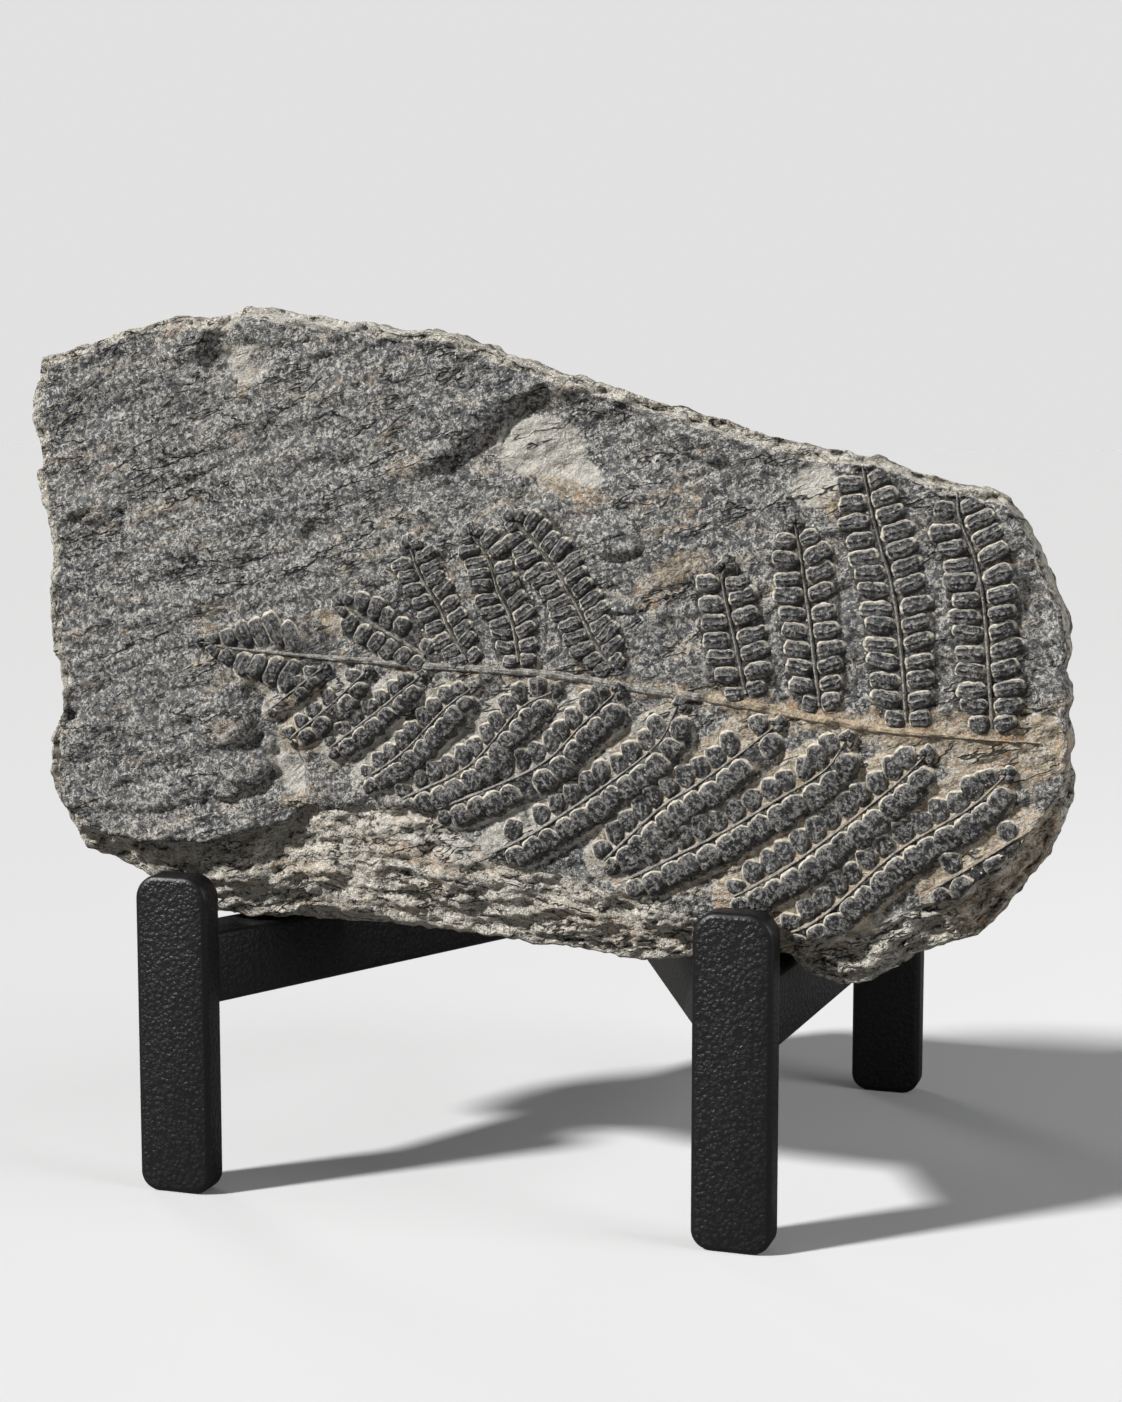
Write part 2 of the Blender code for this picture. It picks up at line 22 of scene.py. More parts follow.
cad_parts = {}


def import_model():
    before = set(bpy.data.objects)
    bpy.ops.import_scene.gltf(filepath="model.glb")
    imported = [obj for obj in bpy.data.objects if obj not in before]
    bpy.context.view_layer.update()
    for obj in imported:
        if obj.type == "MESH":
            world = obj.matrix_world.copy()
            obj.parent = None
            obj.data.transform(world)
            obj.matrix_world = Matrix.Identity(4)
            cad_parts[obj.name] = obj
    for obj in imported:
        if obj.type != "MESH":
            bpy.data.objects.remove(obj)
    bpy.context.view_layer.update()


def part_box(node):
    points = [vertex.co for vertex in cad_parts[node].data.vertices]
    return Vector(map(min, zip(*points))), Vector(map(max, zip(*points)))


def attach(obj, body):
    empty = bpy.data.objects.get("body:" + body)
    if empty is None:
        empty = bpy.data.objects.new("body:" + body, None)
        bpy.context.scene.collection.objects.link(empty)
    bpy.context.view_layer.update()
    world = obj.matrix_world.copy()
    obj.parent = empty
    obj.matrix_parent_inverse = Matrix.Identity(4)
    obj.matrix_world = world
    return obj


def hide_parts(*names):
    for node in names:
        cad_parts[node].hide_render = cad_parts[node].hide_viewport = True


LOG = logging.getLogger("fossil_fern_plate")
MM = 0.001
BODY = "root"
Point = tuple[float, float]
Place = tuple[float, float, float]
Colour = tuple[float, float, float]
Socket = bpy.types.NodeSocket
NodeTree = bpy.types.NodeTree
Material = bpy.types.Material
FLAT = np.array((1.0, 0.0, 1.0))
EARTH_SHADE: Colour = (0.17, 0.14, 0.105)


@dataclass(frozen=True)
class FaceView:
    """The view that shows the slab's face, in which outlines and leaf axes are given as points.

    Its centre, size and focal length are in the view's own pixels, its place is in millimetres.
    """

    centre: Point = (561.0, 701.0)
    height: float = 1402.0
    focal: float = 2500.0
    place: Place = (207.0, -536.0, 194.0)
    yaw: float = math.radians(18.3)
    pitch: float = math.radians(6.9)

    def spot(self, point: Point, depth: float) -> np.ndarray:
        """Returns where the line of sight through a point meets the upright plane at a depth.

        Args:
            point: A point of the view, in its pixels.
            depth: The plane's y in millimetres.

        Returns:
            The place (x, y, z) in millimetres.
        """
        level = math.cos(self.pitch)
        ahead = np.array((-math.sin(self.yaw) * level, math.cos(self.yaw) * level, -math.sin(self.pitch)))
        right = np.array((math.cos(self.yaw), math.sin(self.yaw), 0.0))
        up = np.cross(right, ahead)
        sight = ahead * self.focal + right * (point[0] - self.centre[0]) - up * (point[1] - self.centre[1])
        return np.array(self.place) + sight * (depth - self.place[1]) / sight[1]

    def line(self, points: tuple[Point, ...], depth: float) -> np.ndarray:
        """Returns a row of places on the plane at a depth, one for each point."""
        return np.array([self.spot(point, depth) for point in points])


@dataclass(frozen=True)
class StandFrame:
    """Turns millimetres of the stand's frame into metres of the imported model."""

    shift: Place

    @classmethod
    def from_post(cls, node: str, low_corner: Place) -> StandFrame:
        """Returns the frame that puts a post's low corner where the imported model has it.

        Args:
            node: The post's node.
            low_corner: Its low corner in the stand's frame, in millimetres.
        """
        low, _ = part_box(node)
        return cls(tuple(low[axis] - low_corner[axis] * MM for axis in range(3)))

    def metres(self, places: np.ndarray) -> np.ndarray:
        """Returns places of the stand's frame in metres of the model."""
        return places * MM + np.array(self.shift)

    def millimetres(self, places: np.ndarray) -> np.ndarray:
        """Returns places of the model in millimetres of the stand's frame."""
        return (places - np.array(self.shift)) / MM


def smooth_line(line: np.ndarray, steps: int) -> np.ndarray:
    """Returns a Catmull-Rom curve through a line's places.

    Args:
        line: The places, one a row.
        steps: How many steps each stretch gets.
    """
    padded = np.vstack((2 * line[0] - line[1], line, 2 * line[-1] - line[-2]))
    share = np.linspace(0.0, 1.0, steps, endpoint=False)[:, None]
    stretches = [0.5 * (2 * b + (c - a) * share + (2 * a - 5 * b + 4 * c - d) * share**2
                        + (3 * b - a - 3 * c + d) * share**3)
                 for a, b, c, d in zip(padded, padded[1:], padded[2:], padded[3:])]
    return np.vstack(stretches + [line[-1:]])


def run_along(line: np.ndarray) -> np.ndarray:
    """Returns how far along a line each of its places lies."""
    return np.concatenate(((0.0,), np.cumsum(np.linalg.norm(np.diff(line, axis=0), axis=1))))


def along(line: np.ndarray, share: np.ndarray) -> np.ndarray:
    """Returns the places at the given shares, 0 to 1, of a line's length."""
    run = run_along(line)
    return np.stack([np.interp(share * run[-1], run, line[:, axis]) for axis in range(3)], axis=-1)


def smooth_step(value: np.ndarray, low: float, high: float) -> np.ndarray:
    """Returns 0 below low, 1 above high and a smooth rise between them."""
    share = np.clip((value - low) / (high - low), 0.0, 1.0)
    return share * share * (3 - 2 * share)


def lumps(places: np.ndarray, size: float, seed_step: float = 0, octaves: int = 3) -> np.ndarray:
    """Returns smooth noise of about -1 to 1 at each place.

    Args:
        places: The places in millimetres.
        size: The lumps' size in millimetres.
        seed_step: Moves the noise, so that two layers differ.
        octaves: How many finer layers it has.
    """
    shift = Vector((3.7, 11.2, 5.1)) * (1.0 + seed_step)
    return np.array([noise.fractal(Vector(place) / size + shift, 1.0, 2.0, octaves) for place in places])


def from_line(across: np.ndarray, up: np.ndarray, line: np.ndarray) -> tuple[np.ndarray, np.ndarray, float]:
    """Measures places of the face against a line on it.

    Args:
        across: The places' x.
        up: The places' z.
        line: The line's places.

    Returns:
        Each place's distance from the line, negative to the line's right, how far along the line it lies,
        and the line's length.
    """
    nearest = np.full(across.shape, np.inf)
    signed = np.zeros_like(across)
    run_at = np.zeros_like(across)
    run = 0.0
    for start, end in zip(line, line[1:]):
        step = end[[0, 2]] - start[[0, 2]]
        length = float(np.hypot(*step))
        dx = across - start[0]
        dz = up - start[2]
        share = np.clip((dx * step[0] + dz * step[1]) / length**2, 0.0, 1.0)
        distance = np.hypot(dx - share * step[0], dz - share * step[1])
        closer = distance < nearest
        nearest[closer] = distance[closer]
        side = np.where(step[0] * dz - step[1] * dx >= 0.0, 1.0, -1.0)
        signed[closer] = (side * distance)[closer]
        run_at[closer] = run + share[closer] * length
        run += length
    return signed, run_at, run


def inside(across: np.ndarray, up: np.ndarray, ring: np.ndarray) -> np.ndarray:
    """Returns True at each place that lies inside a closed ring of places."""
    result = np.zeros(across.shape, bool)
    for start, end in zip(ring, np.roll(ring, -1, axis=0)):
        if start[2] == end[2]:
            continue
        crosses = (start[2] > up) != (end[2] > up)
        at = start[0] + (up - start[2]) / (end[2] - start[2]) * (end[0] - start[0])
        result ^= crosses & (across < at)
    return result


def grid_shares(columns: int, rows: int) -> tuple[np.ndarray, np.ndarray]:
    """Returns the shares u across and w up of a grid's corners, column by column."""
    u, w = np.meshgrid(np.linspace(0, 1, columns + 1), np.linspace(0, 1, rows + 1), indexing="ij")
    return u.ravel(), w.ravel()


def grid_corners(columns: int, rows: int) -> np.ndarray:
    """Returns the numbers of a grid's corners, of which each row holds one column of the grid."""
    return np.arange((columns + 1) * (rows + 1)).reshape(columns + 1, rows + 1)


def grid_faces(corner: np.ndarray) -> list[list[int]]:
    """Returns the faces between a grid's numbered corners."""
    faces = np.stack((corner[:-1, :-1], corner[1:, :-1], corner[1:, 1:], corner[:-1, 1:]), -1)
    return faces.reshape(-1, 4).tolist()


def grid_border(corner: np.ndarray) -> np.ndarray:
    """Returns the numbers of a grid's border corners, once round it from the low left."""
    return np.concatenate((corner[:-1, 0], corner[-1, :-1], corner[:0:-1, -1], corner[0, :0:-1]))


def from_border(u: np.ndarray, w: np.ndarray) -> np.ndarray:
    """Returns how far inside the grid's border each corner lies, as a share."""
    return np.minimum(np.minimum(u, 1 - u), np.minimum(w, 1 - w))


def add_object(name: str, data: bpy.types.ID) -> bpy.types.Object:
    """Makes an object and links it to the scene."""
    added = bpy.data.objects.new(name, data)
    bpy.context.scene.collection.objects.link(added)
    return added


def set_marks(mesh: bpy.types.Mesh, marks: dict[str, np.ndarray]) -> None:
    """Stores a value for each vertex of a mesh, by the names that finishes and node trees read."""
    for name, values in marks.items():
        layer = mesh.attributes.new(name, "FLOAT", "POINT")
        layer.data.foreach_set("value", np.asarray(values, np.float32))


def piece_from(name: str, places: np.ndarray, faces: list, material: Material | None,
               marks: dict[str, np.ndarray] | None = None) -> bpy.types.Object:
    """Makes an object at the origin from places in metres.

    Args:
        name: The piece's name.
        places: Its vertices.
        faces: Its faces, as rows of vertex numbers.
        material: Its finish, if it has one.
        marks: Values for each vertex, by name.
    """
    mesh = bpy.data.meshes.new(name)
    mesh.from_pydata(places.tolist(), [], faces)
    set_marks(mesh, marks or {})
    mesh.update()
    mesh.shade_smooth()
    if material is not None:
        mesh.materials.append(material)
    return add_object(name, mesh)


class NodeSheet:
    """A node tree, with short calls that add nodes and join them."""

    def __init__(self, tree: NodeTree) -> None:
        """Starts on a tree, which keeps the nodes it has."""
        self.tree = tree

    def add(self, kind: str, *inputs: object, **options: object) -> bpy.types.Node:
        """Adds a node.

        Args:
            kind: The node's type.
            inputs: What its first inputs get, in order: a socket to link, a value, or None to leave one.
            options: The node's settings; one in capitals is the input of that name, with _ for a space.

        Returns:
            The node.
        """
        node = self.tree.nodes.new(kind)
        named = {}
        for key, value in options.items():
            if key[0].isupper():
                named[key.replace("_", " ")] = value
            else:
                setattr(node, key, value)
        open_inputs = [socket for socket in node.inputs if socket.enabled]
        for socket, value in list(zip(open_inputs, inputs)) + [
                (next(s for s in open_inputs if s.name == key), value) for key, value in named.items()]:
            if isinstance(value, Socket):
                self.tree.links.new(value, socket)
            elif value is not None:
                socket.default_value = value
        return node

    def math(self, operation: str, *inputs: object) -> Socket:
        """Adds a Math node and returns its result."""
        return self.add("ShaderNodeMath", *inputs, operation=operation).outputs[0]

    def vector(self, operation: str, *inputs: object) -> Socket:
        """Adds a Vector Math node and returns its vector."""
        return self.add("ShaderNodeVectorMath", *inputs, operation=operation).outputs[0]

    def rise(self, value: object, low: float, high: float, start: float = 0.0,
             end: float = 1.0) -> Socket:
        """Adds a Map Range node, held at its ends, and returns its result."""
        return self.add("ShaderNodeMapRange", value, low, high, start, end, clamp=True).outputs[0]

    def blend(self, share: object, first: object, second: object) -> Socket:
        """Adds a colour Mix node and returns its colour."""
        return self.add("ShaderNodeMix", share, four(first), four(second), data_type="RGBA").outputs[2]

    def cover(self, colour: object, other: object, mask: object, share: object) -> Socket:
        """Lays another colour over a colour where a mask is, as strongly as a share says."""
        return self.blend(self.math("MULTIPLY", mask, share), colour, other)

    def noise(self, place: object, scale: float, detail: float = 2.0, roughness: float = 0.5,
              warp: float = 0.0) -> Socket:
        """Adds a noise texture and returns its level."""
        return self.add("ShaderNodeTexNoise", Vector=place, Scale=scale, Detail=detail, Roughness=roughness,
                        Distortion=warp).outputs[0]

    def sway(self, place: object, scale: float, detail: float, roughness: float = 0.5) -> Socket:
        """Adds a noise texture and returns a vector that wanders round zero."""
        colour = self.add("ShaderNodeTexNoise", Vector=place, Scale=scale, Detail=detail,
                          Roughness=roughness).outputs[1]
        return self.vector("SUBTRACT", colour, (0.5, 0.5, 0.5))

    def cells(self, place: object, scale: float, feature: str) -> bpy.types.Node:
        """Adds a Voronoi texture and returns its node."""
        return self.add("ShaderNodeTexVoronoi", Vector=place, Scale=scale, feature=feature)

    def mark(self, name: str) -> Socket:
        """Returns the value of one of the mesh's marks."""
        return self.add("ShaderNodeAttribute", attribute_name=name).outputs["Fac"]

    def place(self) -> Socket:
        """Returns the place on the piece in millimetres."""
        return self.vector("MULTIPLY", self.add("ShaderNodeTexCoord").outputs["Object"], (1.0 / MM,) * 3)

    def stored(self, name: str) -> Socket:
        """Returns one of the values that a geometry stores."""
        return self.add("GeometryNodeInputNamedAttribute", name, data_type="FLOAT").outputs[0]

    def store(self, geometry: object, name: str, value: object, domain: str = "POINT") -> Socket:
        """Stores a value on a geometry and returns the geometry."""
        return self.add("GeometryNodeStoreNamedAttribute", geometry, None, name, value, data_type="FLOAT",
                        domain=domain).outputs[0]


def four(value: object) -> object:
    """Returns a colour with its alpha, and anything else as it is."""
    if isinstance(value, tuple) and len(value) == 3:
        return (*value, 1.0)
    return value


def new_group(name: str, inputs: dict[str, tuple[str, object]],
              outputs: tuple[str, ...]) -> tuple[NodeTree, NodeSheet, bpy.types.NodeOutputs]:
    """Starts a shader node group.

    Args:
        name: The group's name.
        inputs: For each input its socket type and first value.
        outputs: The names of its outputs, which are all values.

    Returns:
        The group, its sheet and what its inputs give.
    """
    group = bpy.data.node_groups.new(name, "ShaderNodeTree")
    for title, (kind, value) in inputs.items():
        socket = group.interface.new_socket(title, in_out="INPUT", socket_type=kind)
        if value is not None:
            socket.default_value = value
    for title in outputs:
        group.interface.new_socket(title, in_out="OUTPUT", socket_type="NodeSocketFloat")
    sheet = NodeSheet(group)
    return group, sheet, sheet.add("NodeGroupInput").outputs


def grain_group() -> NodeTree:
    """Builds the grain of the stone: salt and pepper, curly pale flecks and bright specks."""
    group, sheet, given = new_group(
        "stone grain",
        {"Place": ("NodeSocketVector", None), "Fineness": ("NodeSocketFloat", 1.0),
         "Fleck cover": ("NodeSocketFloat", 0.5)},
        ("Grain", "Fleck", "Speck", "Height"))
    place = sheet.vector("SCALE", given["Place"], given["Fineness"])
    fine = sheet.rise(sheet.noise(place, 0.85, 4.0, 0.74, 1.7), 0.38, 0.65, 0.0, 0.75)
    broad = sheet.noise(place, 0.4)
    grain = sheet.math("ADD", fine, sheet.rise(broad, 0.38, 0.62, 0.0, 0.25))
    warped = sheet.vector("MULTIPLY_ADD", sheet.sway(place, 0.55, 1.0), (5.0, 5.0, 5.0), place)
    edge = sheet.cells(warped, 0.78, "DISTANCE_TO_EDGE").outputs["Distance"]
    curl = sheet.math("ABSOLUTE", sheet.math("SUBTRACT", sheet.noise(place, 0.75, 1.0, 0.5, 1.6), 0.5))
    curl = sheet.rise(curl, 0.01, 0.045, 1.0, 0.0)
    thread = sheet.math("MAXIMUM", sheet.rise(edge, 0.05, 0.19, 1.0, 0.0), curl)
    bare = sheet.math("MULTIPLY_ADD", sheet.math("SUBTRACT", 1.0, given["Fleck cover"]), 0.4, 0.27)
    shown = sheet.rise(sheet.math("SUBTRACT", sheet.noise(place, 0.85), bare), 0.0, 0.08)
    fleck = sheet.math("MULTIPLY", thread, shown)
    dots = sheet.cells(place, 0.6, "F1").outputs
    chosen = sheet.rise(dots["Color"], 0.62, 0.7)
    speck = sheet.math("MULTIPLY", sheet.rise(dots["Distance"], 0.1, 0.2, 1.0, 0.0), chosen)
    scales = sheet.cells(warped, 0.42, "F1").outputs["Distance"]
    height = sheet.math("MULTIPLY", fleck, 0.14)
    for part, share in ((grain, 0.14), (broad, 0.3), (scales, -0.3), (speck, 0.12)):
        height = sheet.math("MULTIPLY_ADD", part, share, height)
    sheet.add("NodeGroupOutput", grain, fleck, speck, height)
    return group


def film_group() -> NodeTree:
    """Builds the ragged edge of a film: a mask from how much of the film the surface carries."""
    group, sheet, given = new_group(
        "ragged film",
        {"Place": ("NodeSocketVector", None), "Amount": ("NodeSocketFloat", 0.0),
         "Patch size": ("NodeSocketFloat", 1.0)},
        ("Mask",))
    place = sheet.vector("SCALE", given["Place"], sheet.math("DIVIDE", 1.0, given["Patch size"]))
    torn = sheet.noise(place, 0.45, 4.0, 0.68, 0.6)
    level = sheet.math("SUBTRACT", 0.86, sheet.math("MULTIPLY", given["Amount"], 0.68))
    mask = sheet.rise(sheet.math("SUBTRACT", torn, level), -0.07, 0.09)
    sheet.add("NodeGroupOutput", sheet.math("MULTIPLY", mask, sheet.rise(given["Amount"], 0.0, 0.08)))
    return group


def beds_group() -> NodeTree:
    """Builds the edges of thin beds: the gaps between them, which the shale finish darkens as painted shade,
    and their height.
    """
    group, sheet, given = new_group(
        "bed edges",
        {"Place": ("NodeSocketVector", None), "Bed": ("NodeSocketFloat", 0.0)},
        ("Gap", "Height"))
    sway = sheet.noise(given["Place"], 0.22, 3.0, 0.6)
    gaps, heights = [], []
    for times, wander, shown in ((1.0, 1.4, 1.0), (2.7, 2.6, 0.7)):
        bed = sheet.math("MULTIPLY_ADD", given["Bed"], times, sheet.math("MULTIPLY", sway, wander))
        part = sheet.math("FRACT", bed)
        gap = sheet.math("MULTIPLY", sheet.rise(part, 0.7, 0.86), sheet.rise(part, 0.93, 1.0, 1.0, 0.0))
        torn = sheet.noise(given["Place"], 0.3 * times, 2.0, 0.6)
        gap = sheet.math("MULTIPLY", gap, sheet.rise(torn, 0.47, 0.6, 0.0, shown))
        gaps.append(gap)
        slope = sheet.math("MULTIPLY", part, 0.35 / times)
        heights.append(sheet.math("MULTIPLY_ADD", gap, -0.7 / times, slope))
    sheet.add("NodeGroupOutput", sheet.math("MAXIMUM", *gaps), sheet.math("ADD", *heights))
    return group


class Effects:
    """The shader groups that several finishes share, each built once."""

    def __init__(self) -> None:
        """Builds the groups."""
        self.grain = grain_group()
        self.film = film_group()
        self.beds = beds_group()

    def place_beds(self, sheet: NodeSheet, place: Socket,
                   bed: Socket) -> bpy.types.NodeOutputs:
        """Places the thin beds' edges in a finish and returns their gap and height."""
        return sheet.add("ShaderNodeGroup", place, bed, node_tree=self.beds).outputs

    def place_grain(self, sheet: NodeSheet, place: Socket, fineness: float,
                    cover: float) -> bpy.types.NodeOutputs:
        """Places the stone's grain in a finish and returns its grain, fleck, speck and height."""
        return sheet.add("ShaderNodeGroup", place, fineness, cover, node_tree=self.grain).outputs

    def place_film(self, sheet: NodeSheet, place: Socket, name: str,
                   patch_size: float) -> Socket:
        """Places a ragged film, which follows one of the mesh's marks, in a finish and returns its mask."""
        amount = sheet.mark(name)
        return sheet.add("ShaderNodeGroup", place, amount, patch_size, node_tree=self.film).outputs[0]


def new_finish(name: str, roughness: float,
               specular: float) -> tuple[Material, NodeSheet, bpy.types.Node]:
    """Starts a material.

    Args:
        name: The material's name.
        roughness: The surface's roughness, where no node gives it.
        specular: Its specular level.

    Returns:
        The material, its sheet and its surface shader.
    """
    material = bpy.data.materials.new(name)
    material.use_nodes = True
    shader = material.node_tree.nodes["Principled BSDF"]
    shader.inputs["Roughness"].default_value = roughness
    shader.inputs["Specular IOR Level"].default_value = specular
    return material, NodeSheet(material.node_tree), shader


def join_finish(sheet: NodeSheet, shader: bpy.types.Node, colour: Socket,
                roughness: Socket | None, height: Socket, strength: float) -> None:
    """Joins a finish's colour, roughness and height to its surface shader.

    Args:
        sheet: The material's sheet.
        shader: The surface shader.
        colour: What goes to its base colour.
        roughness: What goes to its roughness, if that varies.
        height: The relief in millimetres.
        strength: How much of the relief shows, 0 to 1.
    """
    links = sheet.tree.links
    links.new(colour, shader.inputs["Base Color"])
    if roughness is not None:
        links.new(roughness, shader.inputs["Roughness"])
    bump = sheet.add("ShaderNodeBump", Strength=strength, Distance=MM, Height=height)
    links.new(bump.outputs["Normal"], shader.inputs["Normal"])


def earthy(sheet: NodeSheet, grain: Socket, earth: object) -> Socket:
    """Returns the colour of an earthy film, which is darker in the stone's dark grains."""
    return sheet.blend(sheet.rise(grain, 0.1, 0.7), EARTH_SHADE, earth)


@dataclass(frozen=True)
class ShaleFinish:
    """Grey shale: peppered grain, curly flecks, tan films, pale scars, the frond's dark ground, and painted
    shade in its cracks and in the gaps between its beds.
    """

    dark: Colour = (0.013, 0.0145, 0.0175)
    light: Colour = (0.25, 0.255, 0.262)
    cloud_dark: Colour = (0.70, 0.72, 0.76)
    cloud_light: Colour = (1.18, 1.16, 1.10)
    fleck: Colour = (0.62, 0.6, 0.56)
    speck: Colour = (0.82, 0.79, 0.72)
    tan: Colour = (0.60, 0.475, 0.32)
    ochre: Colour = (0.48, 0.27, 0.115)
    scar: Colour = (0.82, 0.785, 0.70)
    scar_shade: Colour = (0.4, 0.385, 0.35)
    broken: Colour = (0.80, 0.745, 0.64)
    broken_shade: Colour = (0.04, 0.038, 0.034)
    carbon: Colour = (0.016, 0.0165, 0.018)
    # Painted shade for the cracks and for the gaps between thin beds.
    gap: Colour = (0.007, 0.0067, 0.0065)
    turn: float = math.radians(18.0)
    fineness: float = 1.0
    fleck_cover: float = 0.55

    def slanted(self, sheet: NodeSheet, place: Socket, shift: float) -> Socket:
        """Returns the place turned and drawn out along the stone's own grain, and moved by shift."""
        turned = sheet.add("ShaderNodeVectorRotate", place, None, self.turn,
                           rotation_type="Y_AXIS").outputs[0]
        return sheet.vector("MULTIPLY_ADD", turned, (0.38, 1.0, 1.15), (shift, 0.0, shift))

    def cracks(self, sheet: NodeSheet,
               place: Socket) -> tuple[Socket, Socket]:
        """Returns the mask of short cracks along the stone's grain, and the flakes' height beside them."""
        level = sheet.noise(self.slanted(sheet, place, 0.0), 0.17, 3.0, 0.55)
        off_line = sheet.math("ABSOLUTE", sheet.math("SUBTRACT", level, 0.5))
        there = sheet.rise(sheet.noise(self.slanted(sheet, place, 40.0), 0.12), 0.5, 0.58)
        crack = sheet.math("MULTIPLY", sheet.rise(off_line, 0.005, 0.022, 1.0, 0.0), there)
        flake = sheet.math("MULTIPLY", sheet.rise(level, 0.49, 0.52), there)
        height = sheet.math("MULTIPLY_ADD", crack, -0.7, sheet.math("MULTIPLY", flake, 0.45))
        return crack, height

    def material(self, effects: Effects) -> Material:
        """Builds the material.

        Args:
            effects: The shared shader groups.
        """
        material, sheet, shader = new_finish("grey shale", 0.7, 0.35)
        place = sheet.place()
        grain, fleck, speck, relief = effects.place_grain(sheet, place, self.fineness, self.fleck_cover)
        colour = sheet.blend(grain, self.dark, self.light)
        cloud = sheet.rise(sheet.noise(place, 0.05, 3.0, 0.55), 0.32, 0.68)
        cloud = sheet.blend(cloud, self.cloud_dark, self.cloud_light)
        colour = sheet.add("ShaderNodeMix", 1.0, colour, cloud, data_type="RGBA",
                           blend_type="MULTIPLY").outputs[2]
        ledge = effects.place_film(sheet, place, "ledge", 2.2)
        broken = sheet.blend(sheet.rise(grain, 0.08, 0.65), self.broken_shade, self.broken)
        colour = sheet.cover(colour, broken, ledge, 0.95)
        carbon = effects.place_film(sheet, place, "carbon", 1.0)
        colour = sheet.cover(colour, self.carbon, carbon, 0.8)
        scar = effects.place_film(sheet, place, "scar", 1.4)
        colour = sheet.cover(colour, sheet.blend(grain, self.scar_shade, self.scar), scar, 0.88)
        film = sheet.math("MULTIPLY", effects.place_film(sheet, place, "film", 0.9), 0.85)
        rust = sheet.rise(sheet.noise(place, 0.22, 3.0, 0.6), 0.52, 0.66)
        streaks = sheet.noise(self.slanted(sheet, place, 80.0), 0.14, 4.0, 0.66)
        streaks = sheet.math("MULTIPLY", sheet.rise(streaks, 0.55, 0.66, 0.0, 0.75),
                             sheet.rise(grain, 0.15, 0.6))
        earth = earthy(sheet, grain, sheet.blend(rust, self.tan, self.ochre))
        colour = sheet.blend(sheet.math("MAXIMUM", film, streaks), colour, earth)
        colour = sheet.cover(colour, self.fleck, fleck, sheet.rise(carbon, 0.0, 1.0, 0.85, 0.25))
        colour = sheet.cover(colour, self.speck, speck, 0.85)
        beds = effects.place_beds(sheet, place, sheet.mark("bed"))
        bedded = sheet.rise(sheet.mark("ledge"), 0.0, 1.0, 0.4, 1.0)
        gaps = sheet.math("MULTIPLY", beds["Gap"], bedded)
        crack, flakes = self.cracks(sheet, place)
        # Painted shade: the cracks and the gaps between the beds are darkened nearly to black.
        dark = sheet.math("MAXIMUM", sheet.math("MULTIPLY", gaps, 0.94), sheet.math("MULTIPLY", crack, 0.92))
        colour = sheet.blend(dark, colour, self.gap)
        roughness = sheet.rise(grain, 0.0, 1.0, 0.5, 0.78)
        layered = sheet.math("MULTIPLY_ADD", beds["Height"], bedded, flakes)
        join_finish(sheet, shader, colour, roughness, sheet.math("ADD", relief, layered), 1.0)
        return material


